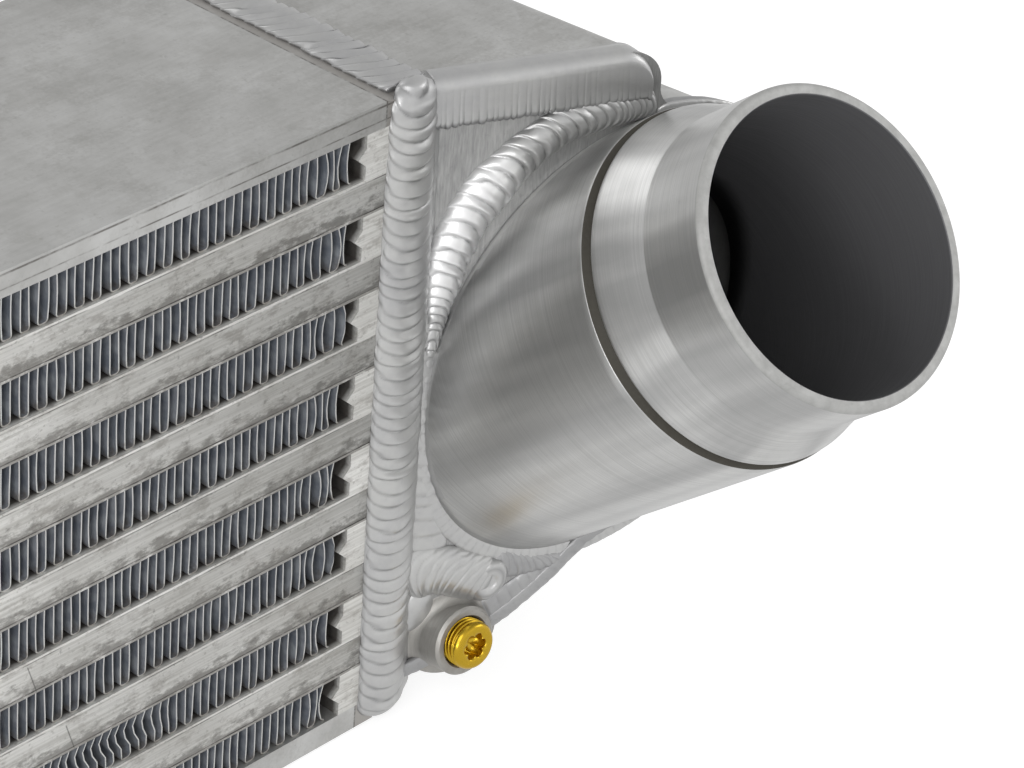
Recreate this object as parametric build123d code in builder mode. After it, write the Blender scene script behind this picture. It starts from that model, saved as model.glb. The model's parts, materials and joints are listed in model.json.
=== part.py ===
from build123d import *

import os
from math import atan2, cos, degrees, radians, sin, sqrt, tan

# Bar-and-plate intercooler, in millimetres. X runs along the core towards the outlet tank,
# Y runs back through the core, Z is up. The origin is the middle of the core's underside.

# Core
face_length = 300.0        # open face of the cooling rows, from ridge tip to ridge tip
core_depth = 76.0
fin_rows = 8
fin_height = 9.6
charge_bar_height = 6.7
charge_bar_width = 8.0
header_bar_width = 12.1
ridge_depth = 2.0          # how far the pointed ridge of a bar stands out of its inner face
ridge_base = 3.7
sheet_thickness = 0.6
side_plate_thickness = 5.4

# Folded strips
fin_wave = 4.25
fin_metal = 0.3
fin_end_gap = 0.6
fin_recess = 0.8           # fin edges lie this far behind the faces of the bars
turbulator_wave = 6.6
turbulator_metal = 0.3
turbulator_recess = 3.0

# End tank
tank_slant = 24.5          # the front wall leans forward by this much in plan
tank_taper = 5.0           # the outer edge of the top leans back in by this much
tank_setback = 3.7         # step from the core's front face back to the front wall
tank_wall = 3.5
front_wall_thickness = 4.0
back_wall_thickness = 4.0
tank_reach = 55.5          # front wall, from the core to its outer side
tank_corner = 7.0
belly_radius = 80.3        # the round underside of the tank
belly_low = 2.7            # height of the underside's lowest point
belly_climb = 0.7221       # its climb to the outer side, as a share of tank_reach
tank_lip = 1.0             # front wall beyond the spigot where the spigot is wider
tank_blend = 5.0           # hollow corners between the spigot's lobe and the wall's edges
blend_share = 0.9          # of the edge beside it that such a corner may take up

# Turned spigot
bore_radius = 29.3
nose_radius = 31.75
nose_length = 16.5
nose_round = 1.1
ramp_length = 9.7
collar_radius = 36.9
groove_width = 3.8
groove_radius = 33.9
body_radius = 35.9
spigot_elevation = 39.6
spigot_swing = 1.6
mouth_reach = 55.3         # mouth centre, outwards from the ridge tips
mouth_forward = 69.5       # and ahead of the core's front face
mouth_height = 124.0       # and above the underside of the core
spigot_step = 1.0          # the wall's opening is this much smaller than the bore

# Sensor boss and its plug
boss_place = (18.7, 5.45)  # along the front wall, and up from its round underside
boss_radius = 7.4
boss_height = 8.0
boss_turn = 17.5           # the boss is turned this much out of the wall's own direction
boss_tilt = 8.0
boss_chamfer = 0.6
port_step = 1.2            # the port behind the thread is this much smaller
thread_radius = 5.2
thread_fit = 0.05
thread_grip = 6.0
plug_stand = 3.4
plug_chamfer = 0.7
socket_radius = 2.6
socket_lobe = 0.52         # radius of each of the socket's six lobes
socket_depth = 3.5

# Welds
weld_width = 12.8
weld_start = 6.8           # near edge of the welds between core and tank, from the ridge tips
weld_rise = 2.6
top_weld_rise = 1.7
seam_weld_height = 11.7
seam_weld_rise = 1.3
saddle_weld_width = 8.5
saddle_weld_rise = 3.2
boss_weld_width = 2.2
weld_floor = 0.6           # the welds stay this far above the underside of the core
weld_cap = 1.5             # and the corner beads end this far above its top
foot_weld_height = 7.0
edge_weld_depth = 6.0      # how far the weld round the front wall reaches back over its edge
edge_weld_width = 3.0      # and in over its face
strip_lift = 0.4           # the strip along the top stands this far above the top plate
strip_depth = 3.8          # and reaches this far back over it
strip_round = 1.2
saddle_weld_crest = 1.8    # width that is left at the top of the saddle weld

# Worked out from the above
fin_layer = charge_bar_height + 2 * sheet_thickness
row_pitch = fin_height + fin_layer
core_height = 2 * side_plate_thickness + fin_rows * row_pitch - fin_layer
core_reach = face_length / 2 + header_bar_width
front_y = -core_depth / 2
back_y = core_depth / 2
first_row_top = core_height - side_plate_thickness

os.makedirs("parts", exist_ok=True)


def row_floor(row):
    """Height of the underside of a cooling row, counted from 0 at the top."""
    return first_row_top - row * row_pitch - fin_height


def hand_in(piece, name):
    """Labels a finished piece and writes it."""
    piece.label = name
    export_step(piece, f"parts/{name}.step")


def mirrored(piece):
    """The same piece for the inlet side."""
    return mirror(piece, about=Plane.YZ)


def bar_outline(width, height):
    """A closing bar's section: a block with a pointed ridge on its inner side, ridge tip at x = 0."""
    middle = height / 2
    Polyline(
        (ridge_depth, 0),
        (ridge_depth, middle - ridge_base / 2),
        (0, middle),
        (ridge_depth, middle + ridge_base / 2),
        (ridge_depth, height),
        (width, height),
        (width, 0),
        close=True,
    )


def fold_outline(length, height, wave, metal):
    """A strip folded up and down along its length, centred on x = 0 and standing on y = 0.

    Each wall leans by half a wave, so the metal measured upright is thicker than the strip. Half
    of that upright thickness, u, solves u = metal / 2 * (length of a wall) / (half a wave).
    """
    waves = round(length / wave)
    step = length / waves / 2
    ratio = (2 * step / metal) ** 2 - 4
    half_cut = (sqrt(4 * height ** 2 + ratio * (step ** 2 + height ** 2)) - 2 * height) / ratio
    middle = [
        (-length / 2 + i * step, height - half_cut if i % 2 else half_cut)
        for i in range(2 * waves + 1)
    ]
    upper = [(x, y + half_cut) for x, y in middle]
    lower = [(x, y - half_cut) for x, y in reversed(middle)]
    Polyline(*upper, *lower, close=True)


def bead_outline(start, end, rise, *under):
    """A weld's section: an arc that stands proud of the line from start to end, closed under it."""
    along = Vector(*end) - Vector(*start)
    outwards = Vector(-along.Y, along.X).normalized()
    crown = (Vector(*start) + Vector(*end)) * 0.5 + outwards * rise
    arc = ThreePointArc(start, crown, end)
    Polyline(arc @ 1, *under, arc @ 0)


def upright(y, height=0.0, x=0.0):
    """A plane across the core's depth, seen from the front, with its own y pointing up."""
    return Plane(origin=(x, y, height), x_dir=(1, 0, 0), z_dir=(0, -1, 0))


# Side plates of the core
with BuildPart() as core_bottom_plate:
    with BuildSketch():
        Rectangle(2 * core_reach, core_depth)
    extrude(amount=side_plate_thickness)
hand_in(core_bottom_plate.part, "core_bottom_plate")

with BuildPart() as core_top_plate:
    with BuildSketch(Plane.XY.offset(first_row_top)):
        Rectangle(2 * core_reach, core_depth)
    extrude(amount=side_plate_thickness)
hand_in(core_top_plate.part, "core_top_plate")

# Cooling rows: one folded fin and a bar across each end
with BuildPart() as top_fin:
    with BuildSketch(upright(front_y + fin_recess, row_floor(0))):
        with BuildLine():
            fold_outline(face_length - 2 * fin_end_gap, fin_height, fin_wave, fin_metal)
        make_face()
    extrude(amount=-(core_depth - 2 * fin_recess))

with BuildPart() as top_header_bars:
    with BuildSketch(upright(front_y, row_floor(0), face_length / 2)):
        with BuildLine():
            bar_outline(header_bar_width, fin_height)
        make_face()
    extrude(amount=-core_depth)
    mirror(about=Plane.YZ)

for row in range(fin_rows):
    drop = (0, 0, -row * row_pitch)
    with BuildPart(Location(drop)) as cooling_fin:
        add(top_fin.part)
    with BuildPart(Location(drop)) as header_bars:
        add(top_header_bars.part)
    hand_in(cooling_fin.part, f"cooling_fin_{row + 1}")
    hand_in(header_bars.part, f"header_bars_{row + 1}")

# Charge layers: two sheets, a bar along the front and the back, and a folded turbulator
layer_floor = row_floor(0) - fin_layer
with BuildPart() as top_sheets:
    for sheet_floor in (layer_floor, layer_floor + fin_layer - sheet_thickness):
        with BuildSketch(Plane.XY.offset(sheet_floor)):
            Rectangle(2 * core_reach, core_depth)
        extrude(amount=sheet_thickness)

bar_floor = layer_floor + sheet_thickness
across = Plane(
    origin=(-core_reach, back_y - charge_bar_width, bar_floor), x_dir=(0, 1, 0), z_dir=(1, 0, 0)
)
with BuildPart() as top_charge_bars:
    with BuildSketch(across):
        with BuildLine():
            bar_outline(charge_bar_width, charge_bar_height)
        make_face()
    extrude(amount=2 * core_reach)
    mirror(about=Plane.XZ)

turbulator_depth = core_depth - 2 * charge_bar_width
with BuildPart() as top_turbulator:
    with BuildSketch(Plane(
        origin=(turbulator_recess - core_reach, 0, bar_floor), x_dir=(0, 1, 0), z_dir=(1, 0, 0)
    )):
        with BuildLine():
            fold_outline(turbulator_depth, charge_bar_height, turbulator_wave, turbulator_metal)
        make_face()
    extrude(amount=2 * (core_reach - turbulator_recess))

for layer in range(fin_rows - 1):
    drop = (0, 0, -layer * row_pitch)
    with BuildPart(Location(drop)) as parting_sheets:
        add(top_sheets.part)
    with BuildPart(Location(drop)) as charge_bars:
        add(top_charge_bars.part)
    with BuildPart(Location(drop)) as charge_turbulator:
        add(top_turbulator.part)
    hand_in(parting_sheets.part, f"parting_sheets_{layer + 1}")
    hand_in(charge_bars.part, f"charge_bars_{layer + 1}")
    hand_in(charge_turbulator.part, f"charge_turbulator_{layer + 1}")

# Planes of the outlet tank. On the front wall's plane x runs outwards from the core and y up.
slant = radians(tank_slant)
front_wall = Plane(
    origin=(core_reach, front_y + tank_setback, 0),
    x_dir=(cos(slant), -sin(slant), 0),
    z_dir=(-sin(slant), -cos(slant), 0),
)
back_wall = upright(back_y, x=core_reach)
inside_front = front_wall.offset(-front_wall_thickness)
inside_back = back_wall.offset(back_wall_thickness)
core_end = Plane(origin=(core_reach, 0, 0), x_dir=(0, 1, 0), z_dir=(1, 0, 0))

# Middle of the round underside, seen square to the front wall
belly_height = belly_climb * tank_reach
belly_middle = tank_reach - sqrt(belly_height * (2 * belly_radius - belly_height))
belly_top = belly_low + belly_radius

# The tank narrows towards the back until its top meets the taper line from the front corner.
top_width = tank_reach - tank_corner
front_corner = front_wall.from_local_coords((top_width, core_height, 0))
back_top_width = front_corner.X - tan(radians(tank_taper)) * (back_y - front_corner.Y) - core_reach
back_ratio = back_top_width / top_width
inner_ratio = (back_ratio * tank_reach - tank_wall) / (tank_reach - tank_wall)
taper_side = Plane(
    origin=front_corner,
    x_dir=(0, 0, 1),
    z_dir=(cos(radians(tank_taper)), sin(radians(tank_taper)), 0),
)

# The spigot's axis, and the oval that it cuts in the front wall
elevation = radians(spigot_elevation)
swing = radians(spigot_swing)
spigot_way = Vector(
    -cos(elevation) * sin(swing), -cos(elevation) * cos(swing), sin(elevation)
)
mouth = Vector(face_length / 2 + mouth_reach, front_y - mouth_forward, mouth_height)
spigot = Plane(origin=mouth, x_dir=(1, 0, 0), z_dir=spigot_way)
facing = spigot_way.dot(front_wall.z_dir)
body_length = (mouth - front_wall.origin).dot(front_wall.z_dir) / facing
oval_place = front_wall.to_local_coords(mouth - spigot_way * body_length)
oval_turn = degrees(atan2(spigot_way.dot(front_wall.y_dir), spigot_way.dot(front_wall.x_dir)))
oval_overrun = 2 * body_radius


def oval(radius, margin=0.0, lift=0.0):
    """The section of a cylinder on the spigot's axis, cut by the front wall or lift ahead of it."""
    climb = lift / facing
    with Locations((
        oval_place.X + climb * spigot_way.dot(front_wall.x_dir),
        oval_place.Y + climb * spigot_way.dot(front_wall.y_dir),
    )):
        Ellipse(radius / facing + margin, radius + margin, rotation=oval_turn + 180)


def underside(along, inset=0.0):
    """Height of the tank's round underside, at a distance along the front wall from the core."""
    return belly_top - sqrt((belly_radius - inset) ** 2 - (along - belly_middle) ** 2)


def tank_section(inset):
    """The tank seen square to its front wall, drawn inset from its outer face.

    A flat top and a straight side with a round corner, a round underside, and a lobe round the
    spigot, which is wider than the side. It starts inside the core, where it is cut off later.
    """
    side = tank_reach - inset
    top = core_height - inset
    heel = underside(side, inset)
    shoulder = core_height - tank_corner
    with BuildSketch() as section:
        with BuildLine():
            top_edge = Line((belly_middle, top), (top_width, top))
            corner = TangentArc(top_edge @ 1, (side, shoulder), tangent=(1, 0))
            side_edge = Line(corner @ 1, (side, heel))
            belly = RadiusArc(side_edge @ 1, (belly_middle, belly_low + inset), belly_radius - inset)
            Line(belly @ 1, top_edge @ 0)
        make_face()
        oval(body_radius, tank_lip - inset)
        hollows = section.vertices().filter_by(
            lambda v: v.X > tank_blend and v.Y < shoulder - 1 and abs(v.Y - heel) > 1
        )
        room = min(
            (Vector(side, height) - Vector(hollow.X, hollow.Y)).length
            for hollow in hollows
            for height in (heel, shoulder)
        )
        fillet(hollows, min(tank_blend + inset, blend_share * room))
    return section.sketch


def tank_body(inset, ratio):
    """The tank as one solid, from its front wall to its back, outwards of the core's end."""
    section = tank_section(inset)
    narrow_section = scale(section, by=(ratio, 1, 1))
    with BuildPart() as body:
        loft([front_wall * section, back_wall * narrow_section], ruled=True)
        split(bisect_by=core_end, keep=Keep.TOP)
    return body.part


outer_tank = tank_body(0, back_ratio)
inner_tank = tank_body(tank_wall, inner_ratio)

with BuildPart() as plain_front_wall:
    add(outer_tank)
    split(bisect_by=inside_front, keep=Keep.TOP)
    with BuildSketch(spigot.offset(oval_overrun - body_length)):
        Circle(bore_radius - spigot_step)
    extrude(amount=-2 * oval_overrun, mode=Mode.SUBTRACT)

with BuildPart() as tank_back_wall:
    add(outer_tank)
    split(bisect_by=inside_back, keep=Keep.BOTTOM)

with BuildPart() as tank_top_plate:
    add(outer_tank)
    split(bisect_by=inside_front, keep=Keep.BOTTOM)
    split(bisect_by=inside_back, keep=Keep.TOP)
    split(bisect_by=Plane.XY.offset(core_height - tank_wall), keep=Keep.TOP)
    split(bisect_by=taper_side, keep=Keep.BOTTOM)

with BuildPart() as tank_side_sheet:
    add(outer_tank)
    split(bisect_by=inside_front, keep=Keep.BOTTOM)
    split(bisect_by=inside_back, keep=Keep.TOP)
    add(inner_tank, mode=Mode.SUBTRACT)
    add(tank_top_plate.part, mode=Mode.SUBTRACT)

# Turned spigot: nose, ramp up to the collar, groove for the hose's clip, and the plain body
with BuildPart() as outlet_spigot:
    with BuildSketch(Plane(origin=mouth, x_dir=spigot.x_dir, z_dir=-spigot.y_dir)) as spigot_section:
        with BuildLine():
            ramp_foot = -nose_length
            collar_top = ramp_foot - ramp_length
            groove_end = collar_top - groove_width
            tail = -body_length - oval_overrun
            Polyline(
                (bore_radius, 0),
                (nose_radius, 0),
                (nose_radius, ramp_foot),
                (collar_radius, collar_top),
                (groove_radius, collar_top),
                (groove_radius, groove_end),
                (body_radius, groove_end),
                (body_radius, tail),
                (bore_radius, tail),
                close=True,
            )
        make_face()
        fillet(spigot_section.vertices().group_by(Axis.Y)[-1], nose_round)
    revolve(axis=Axis(mouth, spigot_way))
    split(bisect_by=front_wall, keep=Keep.TOP)

# Sensor boss, welded on at an angle, with a plug screwed into it
boss_middle = underside(boss_place[0]) + boss_place[1]
boss_root = front_wall.from_local_coords((boss_place[0], boss_middle, 0))
boss_lean = radians(boss_tilt)
boss_way = Vector(
    -cos(boss_lean) * sin(slant - radians(boss_turn)),
    -cos(boss_lean) * cos(slant - radians(boss_turn)),
    sin(boss_lean),
)
boss = Plane(origin=boss_root, x_dir=(1, 0, 0), z_dir=boss_way)
port_radius = thread_radius - port_step

with BuildPart() as plug_boss:
    with BuildSketch(boss.offset(boss_height)):
        Circle(boss_radius)
    extrude(amount=-2 * boss_height)
    chamfer(plug_boss.edges().filter_by(GeomType.CIRCLE).sort_by(Axis(boss_root, boss_way))[-1], boss_chamfer)
    with BuildSketch(boss.offset(boss_height)):
        Circle(thread_radius + thread_fit)
    extrude(amount=-2 * boss_height, mode=Mode.SUBTRACT)
    split(bisect_by=front_wall, keep=Keep.TOP)

with BuildPart() as boss_plug:
    with BuildSketch(boss.offset(boss_height + plug_stand)):
        Circle(thread_radius)
    extrude(amount=-(plug_stand + thread_grip))
    chamfer(boss_plug.edges().filter_by(GeomType.CIRCLE), plug_chamfer)
    with BuildSketch(boss.offset(boss_height + plug_stand)):
        Circle(socket_radius - socket_lobe)
        with PolarLocations(socket_radius - socket_lobe, 6):
            Circle(socket_lobe)
    extrude(amount=-socket_depth, mode=Mode.SUBTRACT)

with BuildPart() as outlet_front_wall:
    add(plain_front_wall.part)
    with BuildSketch(boss.offset(boss_height)):
        Circle(port_radius)
    extrude(amount=-(2 * boss_height + front_wall_thickness), mode=Mode.SUBTRACT)

# Weld round the joint between core and tank: both corners, across the top, and underneath
weld_edge = face_length / 2 + weld_start
weld_end = weld_edge + weld_width
weld_foot_reach = (weld_end - core_reach) / cos(slant)
weld_foot = front_wall.from_local_coords((weld_foot_reach, 0, 0))
with BuildPart() as core_weld:
    with BuildSketch(Plane.XY.offset(weld_floor)):
        with BuildLine():
            bead_outline(
                (weld_foot.X, weld_foot.Y),
                (weld_edge, front_y),
                weld_rise,
                (core_reach, front_y),
                (core_reach, front_y + tank_setback),
            )
        make_face()
        with BuildLine():
            bead_outline((weld_edge, back_y), (weld_end, back_y), top_weld_rise)
        make_face()
    extrude(amount=core_height + weld_cap - weld_floor)
    with BuildSketch(upright(weld_foot.Y)):
        with BuildLine():
            bead_outline((weld_edge, core_height), (weld_end, core_height), top_weld_rise)
        make_face()
        with Locations((core_reach, weld_floor)):
            Rectangle(weld_end - core_reach, foot_weld_height, align=Align.MIN)
    extrude(amount=weld_foot.Y - back_y)
    add(outer_tank, mode=Mode.SUBTRACT)

# Shapes that trim the welds on the front wall: the spigot's body, and the wall's own edge
with BuildPart() as spigot_bar:
    with BuildSketch(spigot):
        Circle(body_radius)
    extrude(amount=-(body_length + oval_overrun))

with BuildPart() as edge_limit:
    with BuildSketch(front_wall.offset(-edge_weld_depth)):
        add(tank_section(-seam_weld_rise))
    extrude(amount=edge_weld_depth + saddle_weld_rise)

# Weld round the foot of the spigot
with BuildPart() as saddle_weld:
    with BuildSketch(front_wall):
        oval(body_radius, saddle_weld_width)
    with BuildSketch(front_wall.offset(saddle_weld_rise)):
        oval(body_radius, saddle_weld_crest, saddle_weld_rise)
    loft()
    add(spigot_bar.part, mode=Mode.SUBTRACT)
    add(edge_limit.part, mode=Mode.INTERSECT)
    add(core_weld.part, mode=Mode.SUBTRACT)

# Weld round the boss, where it stands on the wall
with BuildPart() as boss_weld:
    with BuildSketch(boss.offset(boss_height)):
        Circle(boss_radius + boss_weld_width)
        Circle(boss_radius, mode=Mode.SUBTRACT)
    extrude(amount=-2 * boss_height)
    split(bisect_by=front_wall, keep=Keep.TOP)
    split(bisect_by=front_wall.offset(boss_weld_width), keep=Keep.BOTTOM)
    add(edge_limit.part, mode=Mode.INTERSECT)
    add(core_weld.part, mode=Mode.SUBTRACT)
    add(saddle_weld.part, mode=Mode.SUBTRACT)

# Weld round the front wall's edge, with a wide strip along its top
strip_section = Plane(
    origin=front_wall.from_local_coords((weld_foot_reach, 0, 0)),
    x_dir=-front_wall.z_dir,
    z_dir=front_wall.x_dir,
)
with BuildPart() as plain_seam_weld:
    with BuildSketch(front_wall.offset(-edge_weld_depth)):
        add(tank_section(-seam_weld_rise))
        add(tank_section(edge_weld_width), mode=Mode.SUBTRACT)
    extrude(amount=edge_weld_depth + seam_weld_rise)
    split(bisect_by=strip_section, keep=Keep.TOP)
    split(bisect_by=Plane.XY.offset(core_height + strip_lift), keep=Keep.BOTTOM)
    with BuildSketch(strip_section) as strip:
        with Locations((-seam_weld_rise, core_height + strip_lift)):
            Rectangle(
                seam_weld_rise + strip_depth,
                seam_weld_height + strip_lift,
                align=(Align.MIN, Align.MAX),
            )
        fillet(strip.vertices().group_by(Axis.X)[0], strip_round)
    extrude(amount=top_width - weld_foot_reach)
    add(outer_tank, mode=Mode.SUBTRACT)
    for neighbour in (spigot_bar, core_weld, saddle_weld):
        add(neighbour.part, mode=Mode.SUBTRACT)

with BuildPart() as outlet_seam_weld:
    add(plain_seam_weld.part)
    for neighbour in (plug_boss, boss_weld, boss_plug):
        add(neighbour.part, mode=Mode.SUBTRACT)

# Pieces of the outlet side alone, and pieces that both tanks have
outlet_pieces = {
    "outlet_tank_front_wall": outlet_front_wall,
    "outlet_seam_weld": outlet_seam_weld,
    "plug_boss": plug_boss,
    "boss_plug": boss_plug,
    "boss_weld": boss_weld,
}
inlet_pieces = {
    "inlet_tank_front_wall": plain_front_wall,
    "inlet_seam_weld": plain_seam_weld,
}
twin_pieces = {
    "tank_back_wall": tank_back_wall,
    "tank_top_plate": tank_top_plate,
    "tank_side_sheet": tank_side_sheet,
    "spigot": outlet_spigot,
    "core_weld": core_weld,
    "saddle_weld": saddle_weld,
}
for name, piece in outlet_pieces.items():
    hand_in(piece.part, name)
for name, piece in inlet_pieces.items():
    hand_in(mirrored(piece.part), name)
for name, piece in twin_pieces.items():
    hand_in(mirrored(piece.part), f"inlet_{name}")
    hand_in(piece.part, f"outlet_{name}")
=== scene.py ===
import json
from math import cos, pi, radians, sin

import bpy
import numpy as np
from bpy.props import FloatProperty, FloatVectorProperty, IntProperty, PointerProperty
from mathutils import Matrix, Vector


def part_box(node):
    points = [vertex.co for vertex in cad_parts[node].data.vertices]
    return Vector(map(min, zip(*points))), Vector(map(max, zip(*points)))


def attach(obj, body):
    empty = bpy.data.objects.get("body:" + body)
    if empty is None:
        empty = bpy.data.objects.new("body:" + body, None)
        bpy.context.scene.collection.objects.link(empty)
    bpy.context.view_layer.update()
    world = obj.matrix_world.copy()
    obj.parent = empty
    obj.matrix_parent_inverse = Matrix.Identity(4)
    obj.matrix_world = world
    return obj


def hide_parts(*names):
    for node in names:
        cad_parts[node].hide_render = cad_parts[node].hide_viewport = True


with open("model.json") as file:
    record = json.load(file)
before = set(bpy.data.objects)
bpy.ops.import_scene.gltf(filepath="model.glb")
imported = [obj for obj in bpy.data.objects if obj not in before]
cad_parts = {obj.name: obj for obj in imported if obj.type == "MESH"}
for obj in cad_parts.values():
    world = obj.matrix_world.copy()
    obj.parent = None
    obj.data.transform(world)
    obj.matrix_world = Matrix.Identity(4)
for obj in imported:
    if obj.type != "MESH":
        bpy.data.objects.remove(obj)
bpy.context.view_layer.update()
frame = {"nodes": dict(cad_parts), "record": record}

bl_info = {
    "name": "Bar-and-plate intercooler",
    "version": (1, 0, 0),
    "blender": (4, 5, 0),
    "location": "View3D > Sidebar > Intercooler",
    "description": "Folded fins, rippled welds, turned spigots and finishes of an intercooler",
    "category": "Add Mesh",
}

MM = 0.001
BODY = "root"
TANKS = (("outlet", 1), ("inlet", -1))
mounts = {mount["name"]: mount for mount in frame["record"]["mounts"]}
core_low, core_high = (np.array(c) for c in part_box("core_bottom_plate"))
top_low, top_high = (np.array(c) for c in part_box("core_top_plate"))
row_boxes = [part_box(f"cooling_fin_{row}") for row in range(1, 9)]
bevel_start = top_high[0] - 5.2 * MM


def length(name, value, words):
    """A size in metres, given in millimetres."""
    return FloatProperty(
        name=name, description=words, default=value * MM, unit="LENGTH", precision=5
    )


def colour(name, value, words):
    """A surface colour."""
    return FloatVectorProperty(
        name=name, description=words, default=value, subtype="COLOR", size=3, min=0, max=1
    )


class CoreSizes(bpy.types.PropertyGroup):
    """Sizes of the core's folded fins and plates."""

    fin_wave: length("Fin wave", 4.25, "Distance from one fold to the next of the same kind")
    fin_metal: length("Fin metal", 0.29, "Thickness of the fin strip")
    fold_radius: length("Fold radius", 0.62, "Round of each fold, at the middle of the metal")
    fin_scatter: length("Fin scatter", 0.16, "How far single fin legs stand off their place")
    knock_size: length("Knock size", 1.35, "How far the knocked fins are pushed along the row")
    knock_place: length("Knock place", 89, "Middle of the knocked fins along the core")
    knock_reach: length("Knock reach", 15, "Half the length of the knocked stretch")
    plate_bevel: length("Plate bevel", 3.4, "Length of the bevel at the end of the top plate")
    plate_bevel_drop: length("Plate bevel drop", 0.6, "Drop of that bevel")
    bar_round: length("Bar round", 0.22, "Rounding of the bars' long edges")
    seed: IntProperty(name="Seed", description="Start of the scatter", default=7, min=0)


class TankSizes(bpy.types.PropertyGroup):
    """Sizes of the end tanks, their welds and the turned pieces."""

    slant: FloatProperty(
        name="Slant", description="Lean of the front wall", default=radians(24.5), subtype="ANGLE"
    )
    setback: length("Setback", 3.7, "Step from the core's front to the front wall")
    body_radius: length("Spigot body radius", 35.9, "Outside of the spigot's plain body")
    bore_radius: length("Bore radius", 29.3, "Inside of the spigot")
    collar_radius: length("Collar radius", 35.4, "Largest radius, ahead of the clip groove")
    groove_radius: length("Groove radius", 33.9, "Bottom of the clip groove")
    nose_length: length("Nose length", 16.5, "Plain nose of the spigot")
    ramp_length: length("Ramp length", 11.35, "Ramp from the nose to the collar")
    groove_width: length("Groove width", 2.2, "Width of the clip groove")
    nose_round: length("Nose round", 1.1, "Rounding of the mouth's outer edge")
    ripple: length("Ripple", 2.9, "Distance between the ripples of the corner beads")
    ripple_depth: length("Ripple depth", 0.62, "Depth of those ripples")
    strip_bottom: length("Strip bottom", 132.4, "Height of the lower edge of the top strip")
    strip_top: length("Strip top", 143.3, "Height of the top strip")


class Finishes(bpy.types.PropertyGroup):
    """Colours of the finishes."""

    plate: colour("Plate", (0.58, 0.58, 0.57), "Mill-finished plates and sheets")
    bar: colour("Bar", (0.82, 0.815, 0.79), "Faces of the bars")
    wall: colour("Wall", (0.46, 0.46, 0.455), "Front walls of the tanks")
    bar_stain: colour("Bar stain", (0.3, 0.28, 0.255), "Brazing stains along the bars")
    fin: colour("Fin", (0.2, 0.22, 0.255), "Faces of the fins")
    fin_edge: colour("Fin edge", (0.58, 0.58, 0.56), "Cut edges of the fins")
    weld: colour("Weld", (0.54, 0.54, 0.53), "Weld metal")
    turned: colour("Turned", (0.64, 0.64, 0.63), "Turned spigot")
    # The bore's dark colour is painted shade.
    bore: colour("Bore", (0.145, 0.145, 0.15), "Inside of the spigot")
    brass: colour("Plug", (0.52, 0.34, 0.03), "Gold plug")


# Lines, grids and meshes


def unit(v):
    """Vectors of length 1 along the last axis."""
    return v / np.linalg.norm(v, axis=-1, keepdims=True)


def wobble(x, scale, seed, waves=6):
    """Smooth noise between about -1 and 1: sines of growing frequency with seeded phases."""
    rng = np.random.default_rng(seed)
    total = np.zeros_like(np.asarray(x, float))
    for k in range(waves):
        pace = (1 + 0.73 * k) / scale
        total = total + np.sin(2 * pi * pace * x + rng.uniform(0, 2 * pi)) / (1 + 0.5 * k)
    return total / 2.2


def rise_between(x, low, high):
    """0 below low, 1 above high, and a smooth cubic step between them."""
    t = np.clip((x - low) / (high - low), 0, 1)
    return t * t * (3 - 2 * t)


def distances(points):
    """How far along a line each of its points lies."""
    return np.concatenate([[0], np.cumsum(np.linalg.norm(np.diff(points, axis=0), axis=1))])


def rows_at(at, known, rows, period=None):
    """Rows of coordinates at places between the known ones."""
    return np.stack([np.interp(at, known, column, period=period) for column in rows.T], 1)


def resampled(points, count):
    """count points at equal distances along a line through the given ones, and the distances."""
    far = distances(points)
    at = np.linspace(0, far[-1], count)
    return rows_at(at, far, points), at


def smooth_line(points, count):
    """A smooth line through given points: Catmull-Rom cubics, then equal distances."""
    p = np.asarray(points, float)
    p = np.vstack([2 * p[0] - p[1], p, 2 * p[-1] - p[-2]])
    t = np.linspace(0, 1, 24, endpoint=False)[:, None]
    pieces = []
    for a, b, c, d in zip(p, p[1:], p[2:], p[3:]):
        cubic = (3 * b - a - 3 * c + d) * t**3
        pieces.append(0.5 * (2 * b + (c - a) * t + (2 * a - 5 * b + 4 * c - d) * t**2 + cubic))
    return resampled(np.vstack(pieces + [p[-2:-1]]), count)


def spokes(way, up, count):
    """Directions square to an axis, at equal angles round it from way x up."""
    first = unit(np.cross(way, up))
    angle = np.linspace(0, 2 * pi, count, endpoint=False)[:, None]
    return first * np.cos(angle) + np.cross(way, first) * np.sin(angle)


def point_values(mesh, values):
    """Keeps one number for each point of a mesh, by name, for its material."""
    for key, array in values.items():
        attribute = mesh.attributes.new(key, "FLOAT", "POINT")
        attribute.data.foreach_set("value", array.astype(np.float32))


def finished(name, mesh, finish, nodes):
    """The mesh as a piece of the part, which stands for its nodes."""
    mesh.materials.append(bpy.data.materials[finish])
    mesh.update()
    obj = bpy.data.objects.new(name, mesh)
    bpy.context.scene.collection.objects.link(obj)
    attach(obj, BODY)
    if nodes:
        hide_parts(*nodes)
    return obj


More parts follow.
